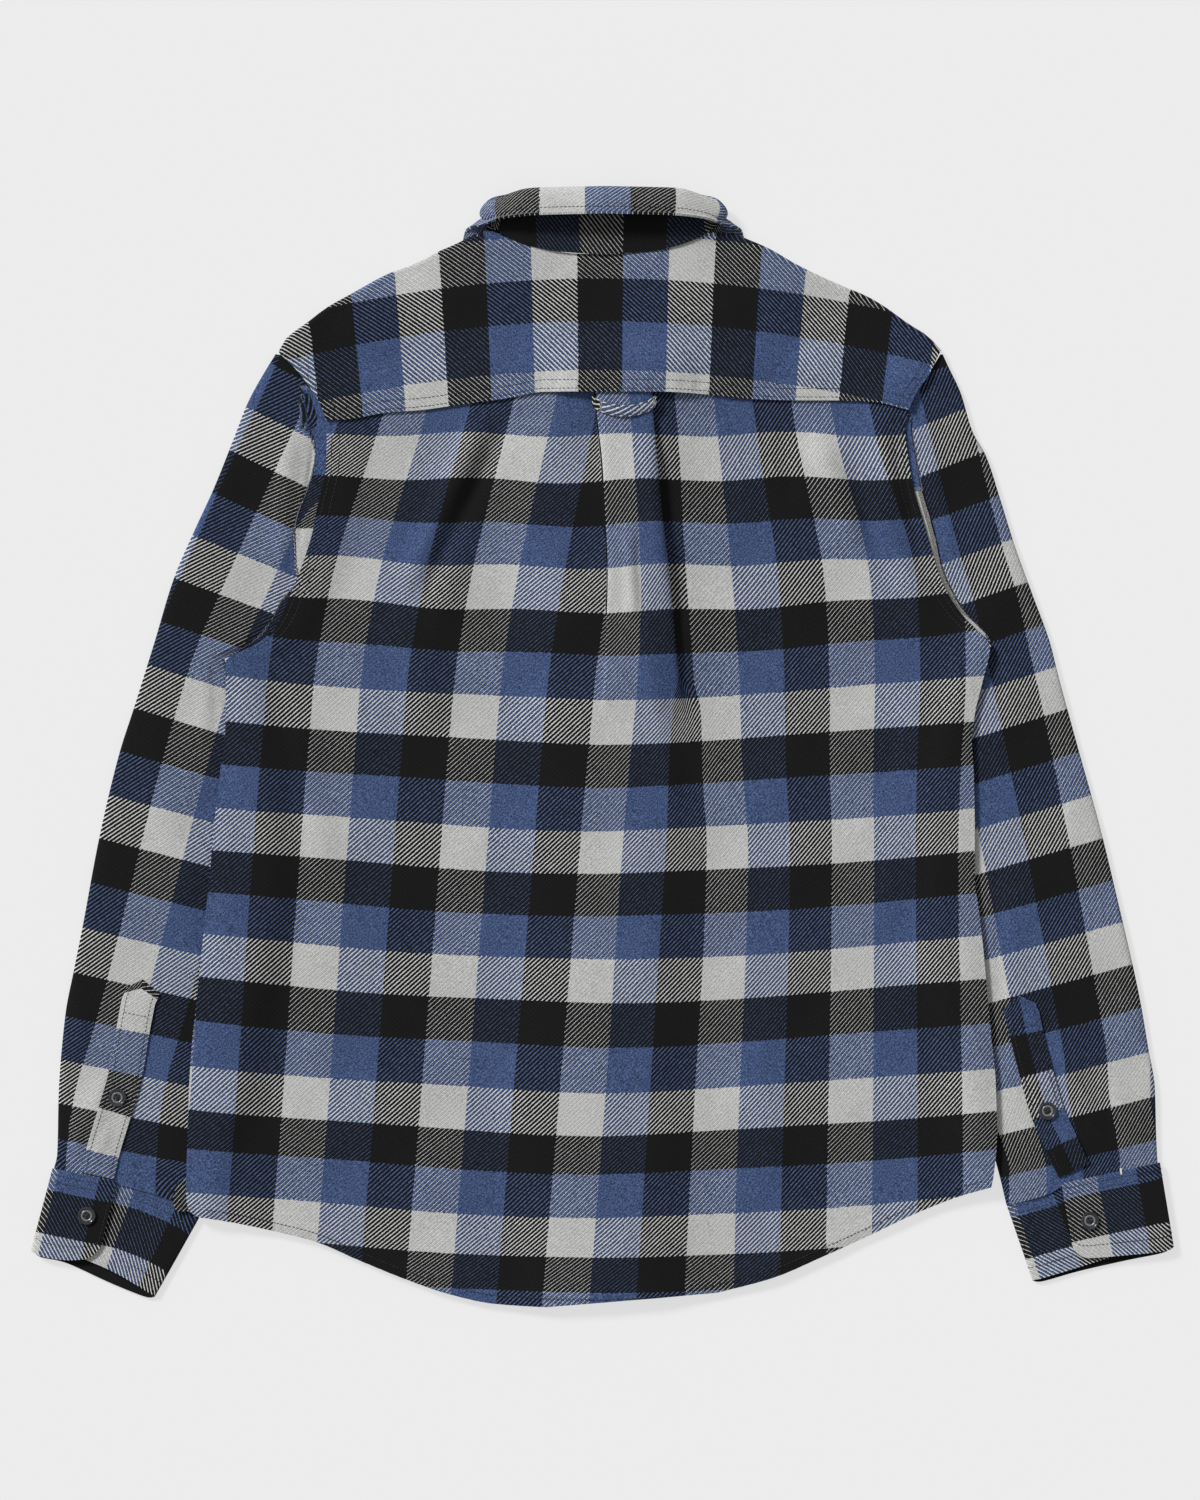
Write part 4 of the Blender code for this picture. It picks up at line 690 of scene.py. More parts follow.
CUTS = dict(
    body=("body", 1), yoke=("yoke", 1), sleeve_left=("left sleeve", 1), sleeve_right=("right sleeve", 1),
    placket_left=("left placket", -1), placket_right=("right placket", 1), cuff_left=("left cuff", 1),
    cuff_right=("right cuff", 1), collar_stand=("collar stand", -1), collar_leaf=("collar leaf", 1))
CLOTHS = {cut: flannel(words + " flannel", lean, crosswise=cut in ("yoke", "collar_leaf"))
          for cut, (words, lean) in CUTS.items()}
print(len(CLOTHS), "cuts of the same flannel")

# %% Thread and buttons
TWIST_SCALE, TWIST_SHADE = 2600.0, 0.8
CLOUD_SCALE, CLOUD_DETAIL, CLOUD_SHADE = 190.0, 4.0, 0.8
BUTTON_DARK, BUTTON_CLOUD, BUTTON_RING_HIGHLIGHT = linear(10, 10, 12), linear(70, 72, 78), linear(128, 130, 134)
RING_RADIUS, RING_FLAT, RING_SLOPE, RING_HIGHLIGHT_SHARE = 3.4, 1.5, 1.6, 0.75  # the painted highlight, a paler ring round the holes


def thread_material(name, deep, pale):
    """Sewing thread: a fine twist along it, slightly glossy."""
    shader, place = start_material(name)
    twist = place.noise(TWIST_SCALE, 1.0)
    return finish_material(name, shader, place, {
        "Base Color": place.colour(deep).mix(pale, twist * TWIST_SHADE), "Roughness": 0.6,
        "Normal": twist.bump(*THREAD_BUMP)})


def button_material(name):
    """Dark polyester button: cloudy grey-black and polished, with a painted highlight as a paler ring round
    its holes.
    """
    shader, place = start_material(name)
    cloud = place.noise(CLOUD_SCALE, CLOUD_DETAIL)
    from_middle, _ = place.cloth_map()
    # Painted highlight: a paler ring at the radius of the button's raised low ring
    ring = (RING_FLAT - (from_middle - RING_RADIUS).size() * RING_SLOPE).between()
    body = place.colour(BUTTON_DARK).mix(BUTTON_CLOUD, cloud * CLOUD_SHADE)
    return finish_material(name, shader, place, {
        "Base Color": body.mix(BUTTON_RING_HIGHLIGHT, ring * RING_HIGHLIGHT_SHARE), "Roughness": 0.1 + cloud * 0.2,
        "Coat Weight": 0.3})


THREAD = thread_material("sewing thread", linear(14, 15, 20), linear(40, 44, 60))
PALE_THREAD = thread_material("pale thread", linear(215, 213, 205), linear(240, 238, 232))
BUTTON = button_material("dark button")
print("materials:", THREAD.name, "and", BUTTON.name)

# %% [markdown]
# ## From a net to a wall of cloth
#
# A piece is first a net of points on the middle of its cloth.  Half the thickness is added along the
# net's normals on one side and taken off on the other, and the open edges are joined.  The two stripe
# numbers go with every point as a UV map.

# %% Walls
def normals(grid, around=False):
    """Unit normals of a net: the cross product of the steps along its two directions."""
    if around:
        along_u = np.roll(grid, -1, axis=0) - np.roll(grid, 1, axis=0)
    else:
        along_u = np.gradient(grid, axis=0)
    return unit(np.cross(along_u, np.gradient(grid, axis=1)))


def quads_of(index):
    """Four corners of each square between the rows and columns of a grid of point numbers."""
    return np.stack([index[:-1, :-1], index[1:, :-1], index[1:, 1:], index[:-1, 1:]], axis=-1)


def add_object(name, data):
    """An object in the scene, made from its data."""
    made = bpy.data.objects.new(name, data)
    bpy.context.scene.collection.objects.link(made)
    return made


def piece(name, slot, places, faces, material, stripes=None, sharp=50.0, node=None):
    """A mesh object from points in millimetres, which rides on the part and may stand for a solid.
    Unused points are dropped, and edges that turn more than sharp degrees stay crisp."""
    flat = [corner for face in faces for corner in face]
    used, index = np.unique(flat, return_inverse=True)
    sizes = [len(face) for face in faces]
    cuts = np.cumsum(sizes)[:-1]
    mesh = bpy.data.meshes.new(name)
    shifted = (np.asarray(places)[used] - (CENTRE_X, CENTRE_Y, 0.0)) * MM
    mesh.from_pydata(shifted.tolist(), [], [part.tolist() for part in np.split(index.ravel(), cuts)])
    if stripes is not None:
        layer = mesh.uv_layers.new(name="cloth")
        layer.data.foreach_set("uv", np.asarray(stripes)[flat].astype(np.float32).ravel())
    mesh.shade_smooth()
    mesh.set_sharp_from_angle(angle=math.radians(sharp))
    mesh.materials.append(material)
    made = add_object(name, mesh)
    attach(made, "root")
    if node:
        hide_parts(node)
    return made


def wall(grid, thick, keep=None, around=False):
    """Both faces of a net at half the thickness, and a rim along every edge that has one face only:
    the places, the faces and the area of the net."""
    nu, nv = grid.shape[:2]
    thick = np.broadcast_to(thick, (nu, nv))[..., None]
    lift = normals(grid, around) * thick / 2
    places = np.concatenate([(grid + lift).reshape(-1, 3), (grid - lift).reshape(-1, 3)])
    index = np.arange(nu * nv).reshape(nu, nv)
    if around:
        index = np.concatenate([index, index[:1]])
    quads = quads_of(index)
    if keep is not None:
        quads = quads[keep]
    quads = quads.reshape(-1, 4)
    edges = np.concatenate([quads[:, [k, (k + 1) % 4]] for k in range(4)])
    code, opposite = edges @ (len(places), 1), edges @ (1, len(places))
    rim = edges[~np.isin(code, opposite)]
    under = nu * nv
    rim_quads = np.stack([rim[:, 1], rim[:, 0], rim[:, 0] + under, rim[:, 1] + under], axis=-1)
    faces = np.concatenate([quads, quads[:, ::-1] + under, rim_quads])
    corners = grid.reshape(-1, 3)[quads]
    cross = np.cross(corners[:, 2] - corners[:, 0], corners[:, 3] - corners[:, 1])
    return places, faces.tolist(), 0.5 * np.linalg.norm(cross, axis=1).sum()


NETS = {}


def dress(node, grid, stripes, cloth=None, slot=None, thick=CLOTH, rests_on=(), keep=None, around=False):
    """Cloth goes by the node's name where none is given.  The slot is worked out the same way and passed
    on, but not used.
    """
    NETS[node] = grid
    places, faces, area = wall(grid, thick, keep, around)
    made = piece("fabric_" + node, slot or node + "_cloth", places, faces, CLOTHS[cloth or node],
                 np.concatenate([stripes.reshape(-1, 2)] * 2), node=node)


print("ready to make walls")

# %% [markdown]
# ## Stripe numbers of the body
#
# The cut isn't quite on the grain: the rows sag towards the sides, and the lines lean where the cloth was
# pulled into the pleat.  Each table gives, at a few heights, where one line lies and how far apart the
# lines are.  Left of the pleat, on it and right of it the cloth has its own count, and they come
# together where the pleat opens out.

# %% Check of the back
BODY_ROWS = dict(
    y=(286.4, 255.2, 224.3, 191.2, 159.5, 128.5, 96.1, 65.2, 33.5, 1.8, -29.2, -60.8, -91.8, -122.8, -153.7,
       -184.7, -216.4, -248.8, -279.7, -307.8, -339.5, -368.3, -393.5, -402.8, -424.5),
    row=(-1, 0.02, 1, 2, 3, 4, 5, 6, 7, 8, 9, 10, 11, 12, 13, 14, 15, 16, 17, 18, 19, 20, 21, 21.3, 22))
BODY_LINES = dict(
    y=(255.2, 227.9, 114.1, 51.5, -9.7, -74.5, -297.7, -402.8),
    left_x=(-0.4, -5.8, -27.7, -37.1, -42.8, -47.9, -66.6, -75.2),
    left_pitch=(30.2, 30.8, 33.4, 33.7, 33.6, 33.6, 33.1, 33.1),
    box_x=(20.5, 22.3, 29.2, 27.0, 21.2, 15.5, 0.4, -6.8),
    box_pitch=(31.0, 31.0, 25.9, 29.9, 30.2, 31.7, 32.0, 32.4),
    right_x=(81.0, 83.9, 95.4, 99.7, 101.9, 106.2, 98.3, 95.4),
    right_pitch=(27.7, 28.3, 33.1, 32.6, 31.5, 30.2, 32.5, 33.1))
SAG, SAG_AT, SAG_POWER = 15.8, 259.0, 1.5  # rise of a row, and how far out it is reached
SAG_TOP, SAG_FADE = 216.0, 115.0
WANDER, WANDER_X, WANDER_Y, WANDER_FOOT, WANDER_FADE = 1.5, 18, 60, 20, 120  # in the creased upper back
DRIFT, DRIFT_X, DRIFT_Y = 0.7, 41, 37  # and everywhere
OPENING = 1.2  # half width over which the count changes at a closed edge of the pleat
OPENS_LEFT, OPENS_RIGHT = (20.8, 150, 90), (24.8, 60, 60)  # how much more, from which y, over how far


def body_weft(x, y):
    """Rows, counted downwards: they rise towards the sides by a power of the distance from the middle, and
    wander by a millimetre where the cloth is creased."""
    sag = SAG * (np.abs(x) / SAG_AT) ** SAG_POWER * np.clip((SAG_TOP - y) / SAG_FADE, 0.0, 1.0)
    wander = WANDER * np.sin(x / WANDER_X + y / WANDER_Y) * smooth((y - WANDER_FOOT) / WANDER_FADE)
    drift = DRIFT * np.sin(x / DRIFT_X - y / DRIFT_Y + 1.0)
    return read(BODY_ROWS, "row", y - sag + (wander + drift))


def body_lines(key, first, x, y):
    """Lines of one part of the back: the first line's number plus the distance from it in pitches."""
    line = read(BODY_LINES, key + "_x", y)
    return first + (x - line) / read(BODY_LINES, key + "_pitch", y)


def past_fold(key, opens, y, unfolded):
    """0 before one edge of the pleat and 1 past it, with a softer change where the pleat opens out."""
    half = OPENING + opens[0] * smooth((opens[1] - y) / opens[2])
    return smooth((unfolded - read(PLEAT, key, y) + half) / (2 * half))


def body_warp(x, y, unfolded):
    """Lines, counted to the right, with a change at each edge of the pleat, in the fold's hidden part."""
    on_box = past_fold("left", OPENS_LEFT, y, unfolded)
    beyond = past_fold("right", OPENS_RIGHT, y, unfolded)
    inner = body_lines("left", -2, x, y) * (1 - on_box) + body_lines("box", 0, x, y) * on_box
    return inner * (1 - beyond) + body_lines("right", 3, x, y) * beyond


hem_x, hem_y = np.array([-290.0, 280.0]), np.array([-338.0, -317.0])
print("lines across the hem:", body_warp(hem_x, hem_y, hem_x).round(2))

# %% [markdown]
# ## The back and its box pleat
#
# The net runs between hem, yoke seam and the two sides.  At each edge of the pleat it swings out over the
# cloth beside it in an S, which is how a pressed pleat lies: the fold stands proud and shades the cloth
# under it.  The light falls into the left fold, so the narrow strip of cloth that goes in under it is
# simply made black, to read as a dark gap.

# %% The back
SIDE_ROWS = spread((0.0125, 2), (0.03, 2), (0.10, 9), (UNDERARM, 96), (0.75, 9), (1.0, 40))
HEM_SHARE, HEM_FADE, HEM_THICKER = 0.018, 0.004, 0.8  # the turned hem is thicker than one layer
GAP_DEPTH = 0.7  # the gap is painted dark, as shade, where the pleat is at least this deep
BLACK_STRIPES = np.array((1.5, 2.5))  # middle of a black stripe of the warp and of the weft


def back_plan(u, v):
    """The back laid flat, between hem, yoke seam and the two sides."""
    return net(along_x(HEM, u), along_x(YOKE_SEAM, u), along_y(LEFT_EDGE, v), along_y(RIGHT_EDGE, v), u, v)


def pleat_edge(edge, outwards, t, depth, rise):
    """Across one edge of the box pleat: its x, the x it would have unfolded, and its rise."""
    plain = edge - outwards * (2 * t - 1) * PLEAT_FLANK
    return plain - outwards * np.sin(2 * np.pi * t) * PLEAT_TUCK * depth, plain, smooth(t) * rise


def nearest_black(stripes):
    """The closest stripe numbers that are black both ways, which they are again every three stripes."""
    return np.round((stripes - BLACK_STRIPES) / 3) * 3 + BLACK_STRIPES


LEFT_PUFF = 0.3  # the box of the pleat stands up less at its left fold


def make_back():
    """The back: its net left of the pleat, the folded left edge, the box, the right edge, and the rest."""
    left_u, right_u = spread((0.13, 16), (0.44, 38)), 1.0 - spread((0.13, 16), (0.345, 28))[::-1]
    plan = back_plan(np.concatenate([left_u, right_u]), SIDE_ROWS)
    lap = np.linspace(0.0, YOKE_LAP, 5)[1:, None] * (0.0, 1.0)
    plan = np.concatenate([plan, plan[:, -1:] + lap[None]], axis=1)
    middle = len(left_u)
    y_rows = (plan[middle - 1, :, 1] + plan[middle, :, 1]) / 2
    depth, edge_left, edge_right, puff = (
        read(PLEAT, key, y_rows) for key in ("depth", "left", "right", "puff"))
    t = np.sort(np.concatenate([evenly(15), np.linspace(0.02, 0.2, 10)]))[:, None]
    low, high = (PLEAT_RISE + LEFT_PUFF * puff) * depth, (PLEAT_RISE + puff) * depth
    left_x, left_plain, left_rise = pleat_edge(edge_left, -1.0, t, depth, low)
    right_x, right_plain, right_rise = pleat_edge(edge_right, 1.0, t[::-1], depth, high)
    between = evenly(18)[1:-1, None]
    box_x = left_x[-1] * (1 - between) + right_x[0] * between
    box_rise = low * (1 - between) + high * between
    x = np.concatenate([plan[:middle, :, 0], left_x, box_x, right_x, plan[middle:, :, 0]])
    plain_x = np.concatenate([plan[:middle, :, 0], left_plain, box_x, right_plain, plan[middle:, :, 0]])
    pleat = slice(middle, len(x) - len(right_u))
    along = (x[pleat] - plan[middle - 1, :, 0]) / (plan[middle, :, 0] - plan[middle - 1, :, 0])
    pleat_y = plan[middle - 1, :, 1] * (1 - along) + plan[middle, :, 1] * along
    y = np.concatenate([plan[:middle, :, 1], pleat_y, plan[middle:, :, 1]])
    z = back_under(x, y) + CLOTH / 2
    z[pleat] += np.concatenate([left_rise, box_rise, right_rise])
    hem = smooth((HEM_SHARE - np.arange(x.shape[1]) / x.shape[1]) / HEM_FADE)
    thick = CLOTH + HEM_THICKER * np.broadcast_to(hem, z.shape)
    grid = points(x, y, z + (thick - CLOTH) / 2)
    stripes = points(body_warp(x, y, plain_x), body_weft(x, y))
    # Painted shade: under the left fold a narrow strip is set to the black stripes, as the dark gap
    fold_x = left_x[t[:, 0] > 0.5].min(axis=0)
    gap_in_shade = (t < 0.5) & (left_x > fold_x - PLEAT_GAP) & (depth > GAP_DEPTH)
    left_fold = stripes[middle:middle + len(t)]
    left_fold[gap_in_shade] = nearest_black(left_fold[gap_in_shade])
    dress("back_panel", grid, stripes, "body", "body_cloth", thick,
          rests_on=["front_left", "front_right", "sleeve_left", "sleeve_right"])


make_back()

# %% [markdown]
# ## The yoke
#
# The yoke is a second layer over the shoulders: its lower edge is sewn down on the back, and at each
# shoulder it turns over to the front.  Its check is cut on its own, so its rows don't meet the back's.

# %% The yoke
YOKE_ROWS = dict(y=(371, 336.6, 305.6, 270.4, 255.2, 224), row=(0.9, 2, 3, 4, 4.45, 5.4))
YOKE_DROOP, YOKE_DROOP_AT = 22.3, 202.0
YOKE_LINE, YOKE_PITCH = 47.9, 32.1  # where line 0 lies, and the width of a stripe
YOKE_LEAN, YOKE_LEAN_TOP, YOKE_LEAN_OVER = 0.04, 300, 72
SLEEVE_SHY = 1.6  # how far the sleeve stays out at the shoulder and the underarm
YOKE_RADIUS = 2.4  # of the turn over the shoulder


def yoke_stripes(x, y):
    """Rows droop with the square of the distance from the middle; lines lean in towards the seam."""
    upright = x * (1 + YOKE_LEAN * (YOKE_LEAN_TOP - y) / YOKE_LEAN_OVER)
    row = read(YOKE_ROWS, "row", y + YOKE_DROOP * (np.abs(x) / YOKE_DROOP_AT) ** 2)
    return points((YOKE_LINE - upright) / YOKE_PITCH, row)


def sleeve_lap(y, top, foot):
    """How far a sleeve's end runs in under the body; near the shoulder and the underarm it stays out."""
    return (ARMHOLE_LAP + SLEEVE_SHY) * smooth((top - y) / 45) * smooth((y - foot) / 30) - SLEEVE_SHY


def armhole_edge(side, y, beyond=0.0):
    """The end of a sleeve at height y, or the body's hidden edge beyond it."""
    table, sign, _ = SLEEVES[side]
    lap = sleeve_lap(y, table["armhole"]["y"][0], table["armhole"]["y"][-1])
    return points(x_at(table["armhole"], y) + sign * (lap + beyond), y - 0.8 * beyond)


def shoulder(side, fraction):
    """Points along a shoulder fold from the sleeve to the neck, and the way out across it."""
    table = SHOULDERS[side]
    if side == "right":
        fraction = 1 - fraction
    run_x, run_y = (table[row][-1] - table[row][0] for row in ("x", "y"))
    return along_x(table, fraction), np.array((-run_y, run_x)) / np.hypot(run_x, run_y)


def yoke_front_edge(side, fraction, depth):
    """A line on the front at a depth below the shoulder fold, kept clear of the sleeve."""
    line, out = shoulder(side, fraction)
    line = line - depth * out
    sign = SLEEVES[side][1]
    limit = armhole_edge(side, line[:, 1], EDGE_GAP)[:, 0]
    line[:, 0] = sign * np.maximum(sign * line[:, 0], sign * limit)
    return line


SHOULDER_STEPS = 24


def make_yoke():
    """The yoke: its net on the back, then rows round the turn of each shoulder and down the front.  Under
    the neck seam, between the shoulders, those rows are left out."""
    steps, neck_steps, fold_steps, front_steps, radius = SHOULDER_STEPS, 80, 9, 9, YOKE_RADIUS
    fraction = evenly(steps + 1)
    neck_x = np.linspace(NECK_SEAM["x"][0], NECK_SEAM["x"][-1], neck_steps + 1)[1:-1]
    neck = points(neck_x, y_at(NECK_SEAM, neck_x) - SEAM_GAP)
    line_left, out_left = shoulder("left", fraction)
    line_right, out_right = shoulder("right", 1 - fraction)
    top = np.concatenate([line_left, neck, line_right])
    out = np.concatenate([np.tile(out_left, (steps + 1, 1)), np.zeros_like(neck),
                          np.tile(out_right, (steps + 1, 1))])
    folded = np.any(out != 0, axis=1)
    u = (top[:, 0] - top[0, 0]) / (top[-1, 0] - top[0, 0])
    bottom = along_x(YOKE_SEAM, u)
    start = top - (radius + CLOTH / 2) * out
    v = spread((0.2, 14), (1.0, 34))
    sides = []
    for side, end in (("left", 0), ("right", -1)):
        y = bottom[end, 1] + (top[end, 1] - bottom[end, 1]) * v
        edge = points(x_at(ARMHOLES[side], y), y)
        edge = edge + (start[end] - edge[-1]) * v[:, None] + (bottom[end] - edge[0]) * (1 - v[:, None])
        sides.append(edge)
    upper = net(bottom, start, sides[0], sides[1], u, v)
    z_upper = yoke_under(upper[..., 0], upper[..., 1]) + CLOTH / 2
    front_line, front_end = (
        np.concatenate([yoke_front_edge("left", fraction, depth), neck,
                        yoke_front_edge("right", 1 - fraction, depth)])
        for depth in (radius + CLOTH / 2, YOKE_FRONT))
    z_top, z_low = z_upper[:, -1], front_under(front_line[:, 0], front_line[:, 1]) + CLOTH / 2
    half, level = (z_top - z_low) / 2, (z_top + z_low) / 2
    rows = [points(upper[..., 0], upper[..., 1], z_upper)]
    for k in range(1, fold_steps):
        turn = np.pi * k / fold_steps
        base = start * (1 + np.cos(turn)) / 2 + front_line * (1 - np.cos(turn)) / 2
        place = base + out * radius * np.sin(turn)
        rows.append(points(place[:, 0], place[:, 1], level + half * np.cos(turn))[:, None])
    for share in evenly(front_steps):
        place = front_line * (1 - share) + front_end * share
        low = front_under(place[:, 0], place[:, 1]) + CLOTH / 2
        rows.append(points(place[:, 0], place[:, 1], low)[:, None])
    grid = np.concatenate(rows, axis=1)
    last = len(v) - 1
    for k in range(last + 1, grid.shape[1]):
        grid[~folded, k] = grid[~folded, last] + (k - last) * np.array((0.0, 1.0, 0.0))
    keep = np.ones((grid.shape[0] - 1, grid.shape[1] - 1), bool)
    keep[:, last:] = (folded[:-1] & folded[1:])[:, None]
    stripes = yoke_stripes(grid[..., 0], grid[..., 1])
    run = np.linalg.norm(np.diff(grid[:, last:], axis=1), axis=2).cumsum(axis=1)
    stripes[:, last + 1:] = stripes[:, last:last + 1]
    stripes[:, last + 1:, 1] -= run / CHECK
    dress("yoke", grid, stripes, rests_on=["back_panel", "front_left", "front_right"], keep=keep)


make_yoke()

# %% [markdown]
# ## The fronts and the button band
#
# They lie underneath, so they are kept plain: the check, the overlap at the middle, and the band on its
# row of buttons.

# %% The fronts and the band
TAIL_OUT, TAIL_TOP, TAIL_FADE = 10.0, -306.0, 18.0  # the left front's corner shows beside the back
PLAIN_TOP, PLAIN_PITCH = 224.0, 31.2  # rows of the hidden pieces
NECK_CLEAR = 1.4  # the fronts end this far outside the collar's seam


def neckline(x):
    """The fronts' neck edge, just outside the seam of the collar stand."""
    front_x, front_y = (COLLAR[row][:-5:-1] for row in ("seam_x", "seam_y"))
    return table_curve(front_x, front_y, np.abs(x - COLLAR_X)) - NECK_CLEAR


def plain_stripes(x, y):
    """An even check over the plan, for the hidden pieces."""
    return points((x - BAND_X) / CHECK, (PLAIN_TOP - y) / PLAIN_PITCH)


def make_front(side):
    """A front: a net between hem, side, the yoke's front edge with the neckline, and the middle."""
    sign, table = SLEEVES[side][1], EDGES[side]
    centre_x = BAND_X + sign * BAND_WIDTH / 2
    columns = spread((0.22, 18), (0.76, 34), (1.0, 20))
    seam_line = yoke_front_edge(side, evenly(SHOULDER_STEPS + 1), YOKE_FRONT + SEAM_GAP)
    neck_x = np.linspace(seam_line[-1, 0], centre_x, len(columns) - SHOULDER_STEPS)[1:]
    top = np.concatenate([seam_line, points(neck_x, neckline(neck_x))])
    side_y = part_way(table["y"], SIDE_ROWS)
    side_y = np.concatenate([side_y, side_y[-1] + (top[0, 1] - side_y[-1]) * np.array((0.5, 1.0))])
    edge = points(x_at(table, side_y), side_y)
    above = side_y > side_y[0] + (table["y"][-1] - table["y"][0]) * UNDERARM + 0.5
    edge[above] = armhole_edge(side, side_y[above], EDGE_GAP)
    edge[-1] = top[0]
    edge[0, 1] += FRONT_SHORT
    if side == "left":
        edge[:, 0] -= TAIL_OUT * smooth((TAIL_TOP - edge[:, 1]) / TAIL_FADE)
    hem_x = edge[0, 0] + (centre_x - edge[0, 0]) * columns
    bottom = points(hem_x, y_at(HEM, hem_x) + FRONT_SHORT)
    bottom[0] = edge[0]
    v = (edge[:, 1] - edge[0, 1]) / (edge[-1, 1] - edge[0, 1])
    v = np.maximum.accumulate(v + np.arange(len(v)) * 1e-7)
    v = (v - v[0]) / (v[-1] - v[0])
    centre = points(centre_x, bottom[-1, 1] + (top[-1, 1] - bottom[-1, 1]) * v)
    plan = net(bottom, top, edge, centre, columns, v, reach=0.28)
    x, y = plan[..., 0], plan[..., 1]
    z = front_under(x, y) + CLOTH / 2
    if side == "right":
        z = z + overlap_step(x, y)
    below = ["front_band", "sleeve_" + side] if side == "left" else ["front_left", "sleeve_right"]
    dress("front_" + side, points(x, y, z), plain_stripes(x, y), "body", "body_cloth", rests_on=below)


def make_band():
    """The button band: a straight strip under the fronts' middle."""
    across = np.linspace(-0.5, 0.5, 15)[:, None] * BAND_WIDTH + BAND_X
    foot = y_at(HEM, BAND_X) + FRONT_SHORT + 1.0
    along = np.linspace(foot, neckline(BAND_X) - 2.0, 180)[None, :]
    x, y = np.broadcast_arrays(across, along)
    z = front_under(x, y) - LAYER_GAP - CLOTH / 2
    dress("front_band", points(x, y, z), plain_stripes(x, y), "body", "body_cloth",
          rests_on=["button_front_1", "button_front_3", "button_front_6"])


for side in SLEEVES:
    make_front(side)
make_band()

# %% [markdown]
# ## The collar
#
# The stand is a band round the neck.  The leaf starts at its top, rolls over in half an ellipse, and runs
# down to its edge.  At the back it stands in a soft roll; at the sides and in front it is pressed flat
# under the fronts.

# %% Stand and leaf
LEAF_SEWN = 0.72  # share of the cloth between the roll and the edge where the leaf is stitched
STAND_ROWS, STAND_COLUMNS, STAND_END = 11, 76, 0.99
LEAF_TURN_ROWS, LEAF_FALL_ROWS, LEAF_COLUMNS, LEAF_END = 23, 13, 80, 0.975
# Where line 0 lies and how wide a stripe is; then the row at the seam or the roll, and how many more at
# the edge
STAND_LINE, STAND_PITCH, STAND_STRIPES = 17.1, 31.0, (2.1, 0.8)
LEAF_LINE, LEAF_PITCH, LEAF_STRIPES = 13.3, 32.4, (1.06, 0.88)
LEAF_WAVES = ((0.5, 17.0, 0.0), (0.35, 7.3, 1.0))  # height, length and start
LEAF_FREE, LEAF_FREE_OVER, LEAF_FLOOR = 4, 6, 0.05  # it waves above this height, and stays off the floor


def collar_row(name, at, mirror):
    """One column of the collar's table, read round the neck; mirror is -1 on the left half."""
    values = row_curve(COLLAR[name], at)
    return values * mirror if name.endswith("_x") else values


def collar_stations(end, count):
    """Places round the neck from the left front end over the back to the right front end."""
    half = np.linspace(0.0, end, count)
    return (np.concatenate([half[::-1], half[1:]]),
            np.concatenate([-np.ones(count), np.ones(count - 1)]))


def collar_point(part, at, mirror):
    """Points of one of the collar's lines: seam, top, root or edge."""
    return points(*(collar_row(part + axis, at, mirror) for axis in ("_x", "_y", "_z"))) + (COLLAR_X, 0, 0)


def run_from_middle(line):
    """Length along a line of points, counted from its middle one."""
    run = run_along(line)
    return run - run[len(run) // 2]


def make_stand():
    """The stand: straight lines from the neck seam to its top, puckered at the back."""
    at, mirror = collar_stations(STAND_END, STAND_COLUMNS)
    seam, top = collar_point("seam", at, mirror), collar_point("top", at, mirror)
    t = evenly(STAND_ROWS)[None, :, None]
    grid = seam[:, None] * (1 - t) + top[:, None] * t
    run = run_from_middle(seam)
    grid[..., 2] += pucker(0.0, run, 0.15)[:, None] * np.sin(np.pi * t[..., 0]) * (grid[..., 2] > 7)
    row = STAND_STRIPES[0] + STAND_STRIPES[1] * t[..., 0]
    stripes = points(-(run[:, None] + STAND_LINE) / STAND_PITCH, row)
    dress("collar_stand", grid, stripes, slot="collar_cloth", thick=BAND_CLOTH,
          rests_on=["yoke", "collar_leaf"])


def make_leaf():
    """The leaf; gives back where on its net the row of stitches along its edge runs."""
    at, mirror = collar_stations(LEAF_END, LEAF_COLUMNS)
    root, edge = collar_point("root", at, mirror), collar_point("edge", at, mirror)
    turn = unit(points(collar_row("turn_x", at, mirror), collar_row("turn_y", at, mirror), 0.0))
    roll = (row_curve(COLLAR["roll"], at) - BAND_CLOTH / 2)[:, None]
    share = row_curve(COLLAR["share"], at)[:, None]
    foot = root + (edge - root) * share
    foot[:, 2] = root[:, 2] + (edge[:, 2] - root[:, 2]) * row_curve(COLLAR["drop"], at)
    middle, reach = (root + foot) / 2, (root - foot) / 2
    turning = np.linspace(0.0, np.pi, LEAF_TURN_ROWS)
    rows = [middle + reach * np.cos(t) + turn * roll * np.sin(t) for t in turning]
    rows += [foot + (edge - foot) * t for t in evenly(LEAF_FALL_ROWS)[1:]]
    grid = np.stack(rows, axis=1)
    outmost = len(turning) // 2
    run = run_from_middle(grid[:, outmost])
    across = np.stack([run_along(row) for row in grid])
    at_roll, at_edge = across[:, outmost, None], across[:, -1:]
    shown = (across - at_roll) / (at_edge - at_roll)
    free = smooth((grid[..., 2] - LEAF_FREE) / LEAF_FREE_OVER) * np.sin(np.pi * across / at_edge)
    wave = sum(height * np.sin(run / length + start) for height, length, start in LEAF_WAVES)
    grid[..., 2] = np.maximum(grid[..., 2] + free * wave[:, None], BAND_CLOTH / 2 + LEAF_FLOOR)
    stripes = points((run[:, None] + LEAF_LINE) / LEAF_PITCH, LEAF_STRIPES[0] + LEAF_STRIPES[1] * shown)
    dress("collar_leaf", grid, stripes, slot="collar_cloth", thick=BAND_CLOTH, rests_on=["collar_stand"])
    rows = evenly(grid.shape[1])
    return np.array([np.interp(LEAF_SEWN, line, rows) for line in shown])


make_stand()
leaf_seam = make_leaf()

